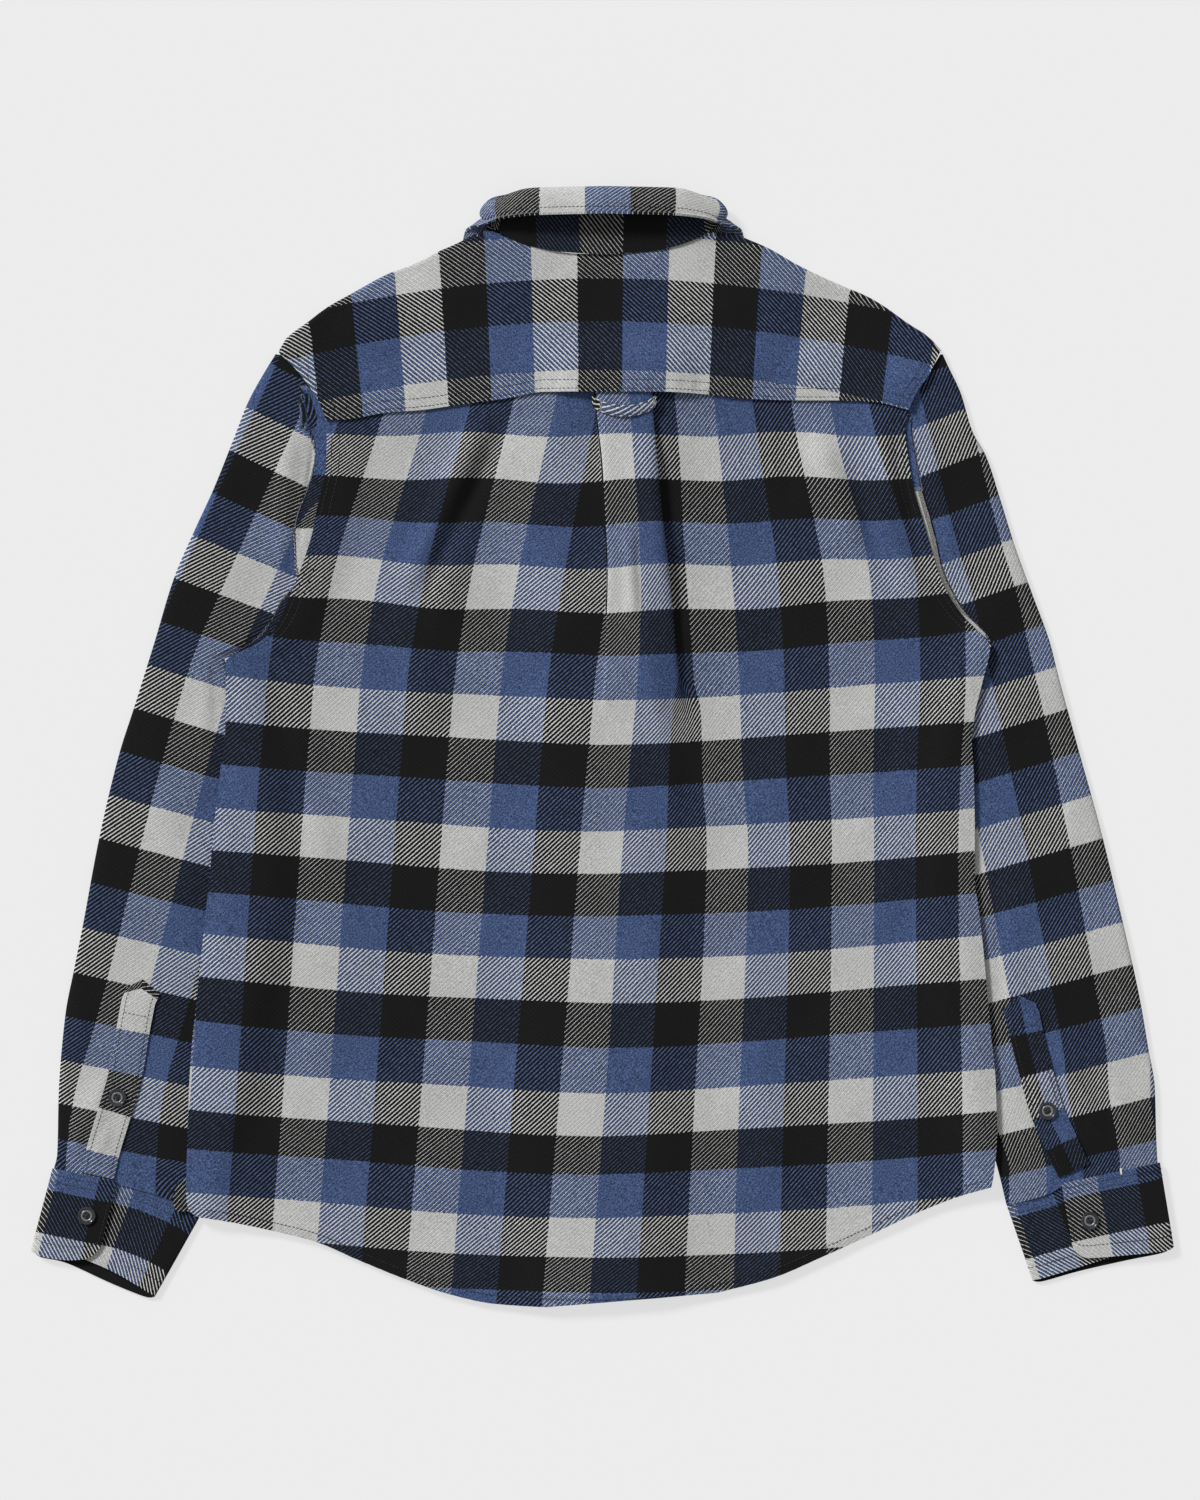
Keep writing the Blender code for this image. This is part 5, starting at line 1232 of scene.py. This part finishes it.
# %% [markdown]
# ## The sleeves
#
# Each sleeve is an empty tube pressed flat.  Its two layers are one closed net: across the upper layer,
# round the fold, and back under.  The check's rows slope, because a sleeve hangs at an angle to the
# body, and its lines run down to the cuff.

# %% Check of the sleeves
SLEEVE_CHECK = dict(
    left=dict(
        rows=dict(y=(285, 213.5, 121.3, 27.7, -65.9, -162.4, -256.7, -318.5, -345),
                  row=(-0.3, 2, 5, 8, 11, 14, 17, 18.96, 18.99)),
        slopes=dict(y=(285, 213.5, 119.9, 33.5, -297.7), slope=(0.5, 0.48, 0.36, 0.30, 0.18)),
        lines=dict(
            y=(285.5, 213.5, 177.5, 141.5, 112.7, 76.7, 47.9, -218.5, -236.5, -254.5, -272.5, -286.9, -305),
            x=(-194, -227.2, -243.7, -259.6, -272.5, -288.4, -298.4, -369, -374.8, -379.1, -382, -383.4,
               -384.8),
            pitch=(34.2, 34.2, 34, 34, 33.8, 33.5, 33.5, 31.5, 31.8, 32, 32.2, 32.4, 32.4)),
        strip=dict(
            y=(262, 256, 246, 231, 229, 222, 208, 196, 194, 185, 177, 175, 158, 156, 143, 128, 119,
               114, 112, 100, 84, 70, 66),
            width=(-2, 6, 13, 16, 15, 10.5, 8, 9.5, 9.5, 10.5, 11.5, 12, 13.5, 13.5, 9.5, 4, -2,
                   -2, 1.5, 5, 6, 5, -2),
            warp=(3.95, 3.9, 3.85, 3.8, 3.7, 3.6, 3.45, 3.3, 3.3, 3.15, 3.02, 2.95, 2.6, 2.55, 2.3, 2.1,
                  2.0, 3.9, 3.8, 3.5, 3.3, 3.05, 3.0),
            row=(0.98, 0.85, 0.7, 0.4, 0.35, 0.25, 0.12, 0.02, -0.03, -0.25, -0.45, -0.5, -0.98, -1.02,
                 -1.4, -1.8, -2.0, -3.1, -3.2, -3.5, -3.8, -3.95, -4.0),
            across=(0.03,) * 23)),
    right=dict(
        rows=dict(y=(285, 212, 118.4, 27, -65.9, -156.6, -251.6, -345),
                  row=(-0.34, 2, 5, 8, 11, 14, 17, 20)),
        slopes=dict(y=(285, 213.5, 112.7, -297.7), slope=(0.42, 0.39, 0.34, 0.24)),
        lines=dict(
            y=(285.5, 213.5, 177.5, 141.5, 105.5, 62.3, 40.7, -192.6, -219.2, -251.6, -279.7, -301.3),
            x=(254.5, 271.8, 280.4, 289.8, 300.6, 310, 315, 359.6, 364, 366.1, 371.2, 374),
            pitch=(*(32,) * 7, 31.5, 31, 29.5, 28, 26.6)),
        strip=dict(
            y=(242, 233, 206, 187, 184, 150, 130, 100, 80, 73),
            width=(-2, 4.5, 6, 6, 6, 5.5, 4, 4, 4.5, -2),
            warp=(3.9, 3.7, 3.3, 3.05, 2.9, 2.6, 2.4, 2.2, 3.1, 3.05),
            row=(0.5, 0.35, 0.15, 0.02, 1.05, 1.25, 1.4, 1.6, 1.8, 1.9),
            across=(0.02, 0.02, 0.02, 0.02, -0.34, -0.34, -0.3, -0.25, -0.05, 0.0))))


FOLD_SHADE_HALF = 0.6  # half width of the painted shade line where the strip folds


def sleeve_stripes(side, x, y):
    """Stripe numbers of a sleeve.  A row's height at the outer edge is found by following its slope out,
    three times over, because the slope itself changes with that height.  Beside the armhole a strip of
    cloth is folded the other way, with its own count, and a line of painted shade (black stripes) where it
    folds."""
    table, sign, _ = SLEEVES[side]
    check = SLEEVE_CHECK[side]
    at_edge = y
    for _ in range(3):
        inwards = sign * (x - x_at(table["outer"], at_edge))
        at_edge = y + read(check["slopes"], "slope", at_edge) * inwards
    line = x_at(check["lines"], y)
    pitch = read(check["lines"], "pitch", y)
    own = points(2 + (x - line) / pitch, read(check["rows"], "row", at_edge))
    strip = check["strip"]
    away = sign * (x_at(table["armhole"], y) - x)
    width, strip_warp, strip_weft, across = (
        read(strip, key, y) for key in ("width", "warp", "row", "across"))
    has_strip = y > strip["y"][-1]
    on_strip = (has_strip & (away < width))[..., None]
    # Painted shade: the fold line takes the nearest black stripes, as the dark crease
    in_fold_shade = (has_strip & (np.abs(away - width) < FOLD_SHADE_HALF))[..., None]
    stripes = np.where(on_strip, points(strip_warp + across * away, strip_weft), own)
    return np.where(in_fold_shade, nearest_black(stripes), stripes)


print("left sleeve at its middle:", sleeve_stripes("left", np.array([-320.0]), np.array([0.0])).round(2))

# %% The sleeves
STRIP_COLUMNS = np.linspace(0.722, 0.984, 40)  # fine columns where the strip's fold runs
FOLD_END, CLOSING = 0.42, 0.8  # height left, and the way out, where the two layers meet


def sleeve_edges(side, v):
    """The two long edges of a sleeve laid flat: the outer fold, and the armhole and then the inner fold."""
    table, sign, _ = SLEEVES[side]
    shoulder_y, underarm_y = table["armhole"]["y"][0], table["armhole"]["y"][-1]
    outer = along_y(table["outer"], v) + (sign * CLOTH / 2, 0.0)
    armhole = armhole_edge(side, shoulder_y + (underarm_y - shoulder_y) * np.minimum(v / SLEEVE_CAP, 1.0))
    fold_v = np.clip((v - SLEEVE_CAP) / (1 - SLEEVE_CAP), 0.0, 1.0)
    fold = along_y(table["inner"], fold_v)
    fold += (armhole_edge(side, underarm_y) - fold[0]) * smooth(1 - 4 * fold_v)[:, None]
    return outer, np.where((v <= SLEEVE_CAP)[:, None], armhole, fold - sign * np.array((CLOTH / 2, 0.0)))


def sleeve_plan(side, p, v):
    """A sleeve laid flat: p runs from its outer to its inner edge, v from the shoulder to the cuff."""
    table = SLEEVES[side][0]
    outer, inner = sleeve_edges(side, v)
    p = p[:, None, None]
    plan = outer[None] * (1 - p) + inner[None] * p
    cuff = y_at(table["cuff"], plan[:, -1, 0]) - CUFF_LAP
    plan[..., 1] += (cuff - plan[:, -1, 1])[:, None] * smooth((v - 0.8) / 0.2)[None]
    return plan


def make_sleeve(side):
    """A sleeve: the upper layer from its outer edge to its inner one, and back along the lower layer.  The
    net closes at both folds, but stays open at the armhole."""
    sign, steps = SLEEVES[side][1], 34
    p = (1 - np.cos(np.pi * np.arange(steps + 1) / steps)) / 2
    p = np.sort(np.concatenate([p, (0.00004, 0.0006), STRIP_COLUMNS]))
    v = spread((0.01, 2), (0.05, 4), (0.26, 44), (SLEEVE_CAP, 20), (0.88, 84), (1.0, 24))[1:]
    plan = sleeve_plan(side, p, v)
    x, y = plan[..., 0], plan[..., 1]
    at_armhole = smooth((SLEEVE_CAP - v) / 0.06)[None] * (p > 0.5)[:, None]
    rounding = (1 - np.abs(2 * p - 1) ** 4)[:, None] ** (1 / 4)
    rounding[-1] = FOLD_END
    full = np.maximum(rounding, at_armhole)
    low, high = CLOTH / 2, sleeve_top(side, x, y)
    level = (low + SLEEVE_END_LOFT - CLOTH / 2) / 2
    upper = points(x, y, level + (high - level) * full)
    lower = points(x, y, level + (low - level) * full)
    closing = 0.5 * (upper[-1:] + lower[-1:])
    closing[0, :, 0] += sign * CLOSING * (1 - at_armhole[-1])
    ring = np.concatenate([upper, closing, lower[:0:-1]])
    keep = np.ones((len(ring), len(v) - 1), bool)
    keep[len(upper) - 1:len(upper) + 1] = v[:-1] > SLEEVE_CAP - 1e-6
    stripes = sleeve_stripes(side, ring[..., 0], ring[..., 1])
    dress("sleeve_" + side, ring, stripes, keep=keep, around=True)


for side in SLEEVES:
    make_sleeve(side)

# %% [markdown]
# ## Plackets and cuffs
#
# The opening of a sleeve is bound with a strip that ends in a point.  The cuff is one band, wrapped round
# from the end of its flap to the end that lies under the flap, with one round corner.

# %% Plackets
PLACKET_CHECK = dict(
    left=dict(y=(-160, -204.8, -235.1, -263.2, -292.7, -320), row=(2.45, 1, 0, -1, -2, -2.9),
              middle=2.5, across=0.75),
    right=dict(y=(-170, -206.3, -235.1, -263.9, -285.5, -315), row=(4.2, 3, 2, 1, 0, -1),
               middle=1.0, across=-0.75))
PLACKET_CROWN, POINT_SHARE = 0.45, 1 / 8  # rise of its middle, and the share of its length that is pointed


def placket_net(side, across, along):
    """A strip along the placket's centre line, on the sleeve's upper layer, with a pointed end."""
    table = PLACKETS[side]
    y = table["y"][0] + (table["y"][-1] + 1.0 - table["y"][0]) * along
    x = x_at(table, y)
    out = unit(points(-np.gradient(y), np.gradient(x)))
    plan = points(x, y)[None] + out[None] * across[:, None, None] * PLACKET_WIDTH
    plan[..., 1] -= PLACKET_POINT * np.abs(2 * across)[:, None] * (1 - smooth(along / POINT_SHARE))[None]
    x, z = plan[..., 0], sleeve_top(side, plan[..., 0], plan[..., 1]) + CLOTH + LAYER_GAP
    crown = PLACKET_CROWN * (1 - np.abs(2 * across) ** 4)[:, None]
    return points(x, plan[..., 1], z + crown), y


def make_placket(side):
    """A placket, with its own rows and an even check across it."""
    across, along = np.linspace(-0.5, 0.5, 19), spread((0.05, 6), (1.0, 76))
    grid, y = placket_net(side, across, along)
    check = PLACKET_CHECK[side]
    warp = (check["middle"] + check["across"] * across)[:, None]
    stripes = points(warp, read(check, "row", y)[None])
    dress("placket_" + side, grid, stripes, rests_on=["sleeve_" + side])


for side in PLACKETS:
    make_placket(side)

# %% Cuffs
CUFF_FIRST_ROW = dict(left=0.5, right=0.36)
CUFF_PITCH = 31.5
FLAP, FLAP_FADE = 0.26, 0.03  # share of the band's length that lies on top
CUFF_INSIDE_SHADE = (0.36, 0.70)  # and the part that is seen only from within, painted black as the shade inside the cuff
CUFF_CROWN, CUFF_RIPPLE, RIPPLE_DEPTH, RIPPLE_AT = 0.3, 0.1, 60, 9


def make_cuff(side):
    """A cuff: rows from its seam to its lower edge, at places all along the wrapped band."""
    table = CUFFS[side]
    s = spread((0.03, 8), (0.26, 26), (0.48, 20), (0.80, 34), (1.0, 16))
    seam, edge = (points(*(row_curve(table[key], s) for key in (line + "_x", line + "_y", "z")))
                  for line in ("seam", "edge"))
    t = evenly(25)
    run = run_along(edge)
    short = np.clip(1 - run / CUFF_CORNER, 0.0, 1.0)
    depth = np.linalg.norm(edge - seam, axis=1)
    reach = 1 - CUFF_CORNER * (1 - np.sqrt(1 - short ** 2)) / depth
    down = t[None] * reach[:, None]
    grid = seam[:, None] + (edge - seam)[:, None] * down[..., None]
    upper = smooth((FLAP - s) / FLAP_FADE)[:, None]
    grid[..., 2] += upper * (CUFF_CROWN * np.sin(np.pi * t)
                             + pucker(down * RIPPLE_DEPTH - RIPPLE_AT, run[:, None], CUFF_RIPPLE))
    rows = CUFF_FIRST_ROW[side] - down * depth[:, None] / CUFF_PITCH
    stripes = points(row_curve(table["warp"], s)[:, None], rows)
    # Painted shade: the inner part of the band is set to the black stripes
    stripes[(s > CUFF_INSIDE_SHADE[0]) & (s < CUFF_INSIDE_SHADE[1])] = BLACK_STRIPES
    dress("cuff_" + side, grid, stripes, thick=BAND_CLOTH)


for side in CUFFS:
    make_cuff(side)

# %% [markdown]
# ## The locker loop
#
# A strip of the same cloth, sewn in at the yoke seam and hanging over the top of the pleat.

# %% The loop
LOOP = dict(x=-6.0, y=253.6, length=46.0, width=8.0, sag=8.5, rise=1.0, crown=0.35)
LOOP_BLUE, LOOP_FADE = (0.15, 0.95), 0.02  # blue between these shares; black outside, as painted shade at both ends
LOOP_FALL = 0.6  # below 1 the strip falls steeply at its ends


def make_loop():
    """The loop: a strip that hangs in an arc, with a slight crown across it."""
    t = evenly(61)
    sag = np.sin(np.pi * t) ** LOOP_FALL
    across = evenly(9)
    y = (LOOP["y"] - LOOP["sag"] * sag)[:, None] - LOOP["width"] * across[None]
    x = (LOOP["x"] + LOOP["length"] * t)[:, None] + np.zeros_like(y)
    rise = LOOP["rise"] * np.sin(np.pi * t) ** 3
    crown = LOOP["crown"] * np.sin(np.pi * across)
    z = back_under(x, y) + CLOTH + over_pleat(x) + LAYER_GAP + CLOTH / 2 + rise[:, None] + crown
    middle, half = (LOOP_BLUE[0] + LOOP_BLUE[1]) / 2, (LOOP_BLUE[1] - LOOP_BLUE[0]) / 2
    # Painted shade: both ends of the strip take the black warp stripe
    end_shade = (1 - plateau(t - middle, half, LOOP_FADE))[:, None]
    stripes = points(0.5 + 0.25 * across[None] + end_shade, 1.1 + 0.8 * t[:, None])
    dress("locker_loop", points(x, y, z), stripes, "body", "yoke_cloth", rests_on=["back_panel"])


make_loop()

# %% [markdown]
# ## Buttons
#
# Each button is a height field on rings and spokes: a raised rim, a dished middle with a low ring in it,
# and four holes, each a steep round well.  The same outline closes it underneath.

# %% Buttons
SPOKES, BUTTON_FACE = 72, np.linspace(0.12, 5.9, 30)  # radii of the face's rings
HOLES, HOLE_AT, HOLE_RADIUS, HOLE_FADE, HOLE_DEPTH = 4, 1.75, 0.62, 0.3, 0.95
SEWN_AT = 1.45  # height of the thread over a button's back
DISH, RIM, RIM_AT, RIM_FADE = 1.0, 0.8, 4.5, 0.8  # height of the dish, and what the rim adds
LOW_RING, LOW_RING_AT, LOW_RING_FLAT, LOW_RING_FADE = 0.45, 3.5, 0.2, 0.5
BUTTON_EDGE = ((6.25, 6.46, 6.5, 6.3, 5.6, 0.12), (1.72, 1.35, 0.75, 0.25, 0.0, 0.0))  # radii and heights
FRONT_TOP, FRONT_PITCH, FRONT_BUTTON_Z = 235.0, 113.0, 0.15


def button_profile():
    """Rings of a button from the middle of its face, over its edge, to the middle of its back."""
    rim = RIM * smooth((BUTTON_FACE - RIM_AT) / RIM_FADE)
    ring = LOW_RING * plateau(BUTTON_FACE - LOW_RING_AT, LOW_RING_FLAT, LOW_RING_FADE)
    return (np.concatenate(pair) for pair in zip((BUTTON_FACE, DISH + rim + ring), BUTTON_EDGE))


SEWN = []  # where each button is sewn on, and how far it is turned


def make_button(node, x, y, bottom, turned):
    """One button at a place, its holes turned by an angle, on what is bottom millimetres high."""
    radius, height = button_profile()
    angle = 2 * np.pi * np.arange(SPOKES) / SPOKES
    across, along = radius * np.cos(angle)[:, None], radius * np.sin(angle)[:, None]
    z = np.broadcast_to(height, across.shape).copy()
    for way in turned + 2 * np.pi / HOLES * np.arange(HOLES):
        away = np.hypot(across - HOLE_AT * math.cos(way), along - HOLE_AT * math.sin(way))
        well = HOLE_DEPTH * (1 - smooth((away - HOLE_RADIUS) / HOLE_FADE))
        z -= well * (np.arange(len(radius)) < len(BUTTON_FACE))
    places = points(x + across, y + along, bottom + z).reshape(-1, 3)
    index = np.arange(len(places)).reshape(z.shape)
    wrapped = np.concatenate([index, index[:1]])
    quads = quads_of(wrapped)[..., [0, 3, 2, 1]].reshape(-1, 4)
    faces = quads.tolist() + [index[:, 0].tolist(), index[::-1, -1].tolist()]
    from_middle = points(np.broadcast_to(radius, across.shape), 0.0).reshape(-1, 2)
    piece("disc_" + node, "button", places, faces, BUTTON, from_middle, sharp=40.0, node=node)
    SEWN.append((np.array((x, y, bottom + SEWN_AT)), turned))


for k in range(6):
    make_button(f"button_front_{k + 1}", BAND_X, FRONT_TOP - FRONT_PITCH * k, FRONT_BUTTON_Z, 0.4 + k)
make_button("button_collar", COLLAR_X, 303.5, FRONT_BUTTON_Z, 0.9)
for side, x, y, turned in (("left", -347.5, -252.5, 0.5), ("right", 321.5, -262.0, 1.1)):
    top = float(sleeve_top(side, np.array([x]), np.array([y]))[0]) + 1.5 * CLOTH + 2.6 * LAYER_GAP
    make_button("button_placket_" + side, x, y, top, turned)
for side, x, y, turned in (("left", -369.5, -337.5, 0.2), ("right", 352.0, -341.0, 0.7)):
    top = CUFF_Z[0] + BAND_CLOTH / 2 + LAYER_GAP
    make_button("button_cuff_" + side, x, y, top, turned)
print(len(SEWN), "buttons of 13 mm")

# %% [markdown]
# ## Sewing
#
# A lockstitch shows as a row of short rounded lengths of thread.  Each row follows a line on a piece at a
# constant distance from its edge, and all stitches of one piece are one mesh.

# %% Stitches
THREAD_LIFT = 0.08  # a thread lies this far over the face of its cloth
SEAM_ROWS, ARMHOLE_ROWS, HEM_ROW, LOOP_ROWS = (2.5, 8.6), (3.6, 9.2), 6.2, (0.16, 0.84)
SHOWN_SIDE = dict(locker_loop=-1, collar_leaf=-1, cuff_left=1, cuff_right=-1, placket_left=-1,
                  placket_right=-1)


def on_net(name, u, v, lift):
    """Places on a net at fractions u, v of its two directions, lifted to the side of the cloth that shows:
    1 where the net's normals face out, -1 where they face in."""
    u, v = np.broadcast_arrays(u, v)
    grid = NETS[name]
    raised = grid + normals(grid) * lift * SHOWN_SIDE[name]
    a, b = np.clip(u, 0, 1) * (len(grid) - 1), np.clip(v, 0, 1) * (grid.shape[1] - 1)
    i = np.clip(a.astype(int), 0, len(grid) - 2)
    j = np.clip(b.astype(int), 0, grid.shape[1] - 2)
    a, b = (a - i)[:, None], (b - j)[:, None]
    return ((raised[i, j] * (1 - a) + raised[i + 1, j] * a) * (1 - b)
            + (raised[i, j + 1] * (1 - a) + raised[i + 1, j + 1] * a) * b)


def stitch_run(line, pitch=2.9):
    """Middles and directions of stitches, evenly spaced along a line of points."""
    run = run_along(line)
    at = np.arange(pitch / 2, run[-1] - pitch / 3, pitch)
    place = [np.stack([np.interp(at + d, run, line[:, k]) for k in range(3)], -1) for d in (-0.4, 0.0, 0.4)]
    return place[1], unit(place[2] - place[0])


def thread_mesh(name, slot, middles, ways, length=2.1, width=0.46, thread=THREAD):
    """Rounded lengths of thread: four squares along each, small at the ends and full between."""
    out = unit(np.cross((0.0, 0.0, 1.0), ways))
    up = np.cross(ways, out)
    along = np.array((-0.5, -0.34, 0.34, 0.5))[None, :, None, None] * length
    full = np.array((0.35, 1.0, 1.0, 0.35))[None, :, None, None] * width / 2
    angle = (np.arange(6) * np.pi / 3)[None, None, :, None]
    places = (middles[:, None, None] + ways[:, None, None] * along
              + full * (out[:, None, None] * np.cos(angle) + up[:, None, None] * np.sin(angle)))
    index = np.arange(len(middles) * 24).reshape(-1, 4, 6)
    turned = np.roll(index, -1, axis=2)
    sides = np.stack([index[:, :-1], turned[:, :-1], turned[:, 1:], index[:, 1:]], axis=-1).reshape(-1, 4)
    ends = np.concatenate([index[:, 0, ::-1], index[:, 3]])
    piece(name, slot, places.reshape(-1, 3), sides.tolist() + ends.tolist(), thread, sharp=60.0)
    return len(middles)


def sew(name, slot, lines):
    """Stitches along all lines of a piece, as one mesh; gives back how many there are."""
    middles, ways = (np.concatenate(part) for part in zip(*map(stitch_run, lines)))
    return thread_mesh(name, slot, middles, ways)


def lying_on(under, x, y):
    """A line of thread on the back or the yoke, whose underside the function under gives."""
    return points(x, y, under(x, y) + CLOTH + THREAD_LIFT)


ALONG = evenly(400)
SEAM_X, HEM_X = -196 + 415 * ALONG, -284 + 560 * ALONG
YOKE_LINES = [lying_on(yoke_under, SEAM_X, y_at(YOKE_SEAM, SEAM_X) + inset) for inset in SEAM_ROWS]
BACK_LINES = []
for side, table in EDGES.items():
    armhole, sign = ARMHOLES[side], SLEEVES[side][1]
    shoulder_y, underarm_y, seam_y = armhole["y"][0], armhole["y"][-1], table["y"][-1]
    for inset in ARMHOLE_ROWS:
        y = underarm_y + 6 + (seam_y - underarm_y - 7) * ALONG
        BACK_LINES.append(lying_on(back_under, x_at(table, y) + sign * inset, y))
        y = seam_y + 4 + (shoulder_y - seam_y - 8) * ALONG
        YOKE_LINES.append(lying_on(yoke_under, x_at(armhole, y) + sign * inset, y))
BACK_LINES.append(lying_on(back_under, HEM_X, y_at(HEM, HEM_X) + HEM_ROW) + (0.0, 0.0, 1.0))
YOKE_LINES += [on_net("locker_loop", ALONG, v, CLOTH / 2 + THREAD_LIFT) for v in LOOP_ROWS]
print("yoke:", sew("stitches_yoke", "yoke_cloth", YOKE_LINES),
      "back:", sew("stitches_back", "body_cloth", BACK_LINES))

# %% Stitches of collar, plackets and cuffs, and the thread of the buttons
CUFF_ROWS, CUFF_RUN, FLAP_ROW, FLAP_RUN = (0.07, 0.15, 0.84), (0.03, 0.9), 0.035, (0.16, 0.66)
STRIP_ROWS, STRIP_RUN, END_ROWS, END_RUN = (0.13, 0.87), (0.03, 0.95), (0.03, 0.2), (0.13, 0.74)


def shares(run):
    """Shares along a row, from where it starts over how far it runs."""
    return run[0] + run[1] * ALONG


def cuff_lines(name):
    """Two rows below the seam, one above the lower edge, and one beside the end of the flap."""
    lift = BAND_CLOTH / 2 + THREAD_LIFT
    return ([on_net(name, shares(CUFF_RUN), v, lift) for v in CUFF_ROWS]
            + [on_net(name, FLAP_ROW, shares(FLAP_RUN), lift)])


def placket_lines(name):
    """Two rows along the strip and two across its upper end."""
    lift = CLOTH / 2 + THREAD_LIFT
    return ([on_net(name, u, shares(STRIP_RUN), lift) for u in STRIP_ROWS]
            + [on_net(name, shares(END_RUN), v, lift) for v in END_ROWS])


leaf_row = np.interp(ALONG, evenly(len(leaf_seam)), leaf_seam)
leaf_line = on_net("collar_leaf", ALONG, leaf_row, BAND_CLOTH / 2 + 0.06)
counts = [sew("stitches_collar", "collar_cloth", [leaf_line])]
for side in SLEEVES:
    for kind, lines_of in (("cuff_", cuff_lines), ("placket_", placket_lines)):
        counts.append(sew("stitches_" + kind + side, kind + side + "_cloth", lines_of(kind + side)))
print("stitches on collar, cuffs and plackets:", counts)

# Two threads cross in each button's holes, and three pale ones tack the right cuff at its seam
middles = np.array([place for place, _ in SEWN for _ in range(2)])
turns = [turned + quarter for _, turned in SEWN for quarter in (0, np.pi / 2)]
ways = points(np.cos(turns), np.sin(turns), 0.0)
thread_mesh("button_threads", "button", middles, ways, length=3.9, width=0.75)
tack_x, tack_y = np.array([373.9, 374.35, 374.8]), -305.5
tack_z = sleeve_top("right", tack_x, np.full(3, -303.0)) + CLOTH + 0.9
thread_mesh("tack_cuff_right", "button", points(tack_x, tack_y, tack_z), np.tile((0.1, -0.99, 0.0), (3, 1)),
            length=5.0, thread=PALE_THREAD)

# %% [markdown]
# ## Floor, light and camera
#
# The shirt lies on a pale sheet that glows a little, so that shadows on it stay faint, and is seen from
# straight above.  Light comes from all round, with one broad soft source from the side, so that the folds
# show.

# %% Floor
FLOOR_HALF, FLOOR_Z = 4.0, -0.0004  # metres
FLOOR_GLOW, FLOOR_DARK, FLOOR_PALE = (linear(v, v, v) for v in (211, 119, 121))

floor_mesh = bpy.data.meshes.new("floor")
corners = [(a * FLOOR_HALF, b * FLOOR_HALF, FLOOR_Z) for a, b in ((-1, -1), (1, -1), (1, 1), (-1, 1))]
floor_mesh.from_pydata(corners, [], [(0, 1, 2, 3)])
paper_shader, paper_place = start_material("pale sheet")
grain = paper_place.noise(300.0)
paper = finish_material("pale sheet", paper_shader, paper_place, {
    "Base Color": paper_place.colour(FLOOR_DARK).mix(FLOOR_PALE, grain), "Roughness": 0.9,
    "Emission Color": FLOOR_GLOW, "Emission Strength": 1.0, "Specular IOR Level": 0.0})
floor_mesh.materials.append(paper)
add_object("floor", floor_mesh)
print("floor made")

# %% Light and camera
ROOM_LIGHT = 0.4
SUN_ENERGY, SUN_WIDTH, SUN_DOWN, SUN_ROUND = 3.45, 14.0, 57.0, 228.0  # the last three in degrees
CAMERA_X, CAMERA_Y, CAMERA_UP, LENS, SENSOR = -1.665, -2.012, 6.0, 200.0, 36.0

world = bpy.data.worlds.new("soft room")
world.use_nodes = True
room = world.node_tree.nodes["Background"].inputs
room["Color"].default_value = (1.0, 1.0, 1.0, 1.0)
room["Strength"].default_value = ROOM_LIGHT
bpy.context.scene.world = world

sun_data = bpy.data.lights.new("broad window", "SUN")
sun_data.energy = SUN_ENERGY
sun_data.angle = math.radians(SUN_WIDTH)
sun = add_object("broad window", sun_data)
sun.rotation_euler = (math.radians(SUN_DOWN), 0.0, math.radians(SUN_ROUND))

camera_data = bpy.data.cameras.new("above")
camera_data.lens, camera_data.sensor_width = LENS, SENSOR
camera = add_object("above", camera_data)
camera.location = (CAMERA_X * MM, CAMERA_Y * MM, CAMERA_UP)
bpy.context.scene.camera = camera
bpy.context.scene.view_settings.view_transform = "Standard"
print("camera 6 m above, frame 1.08 m high")
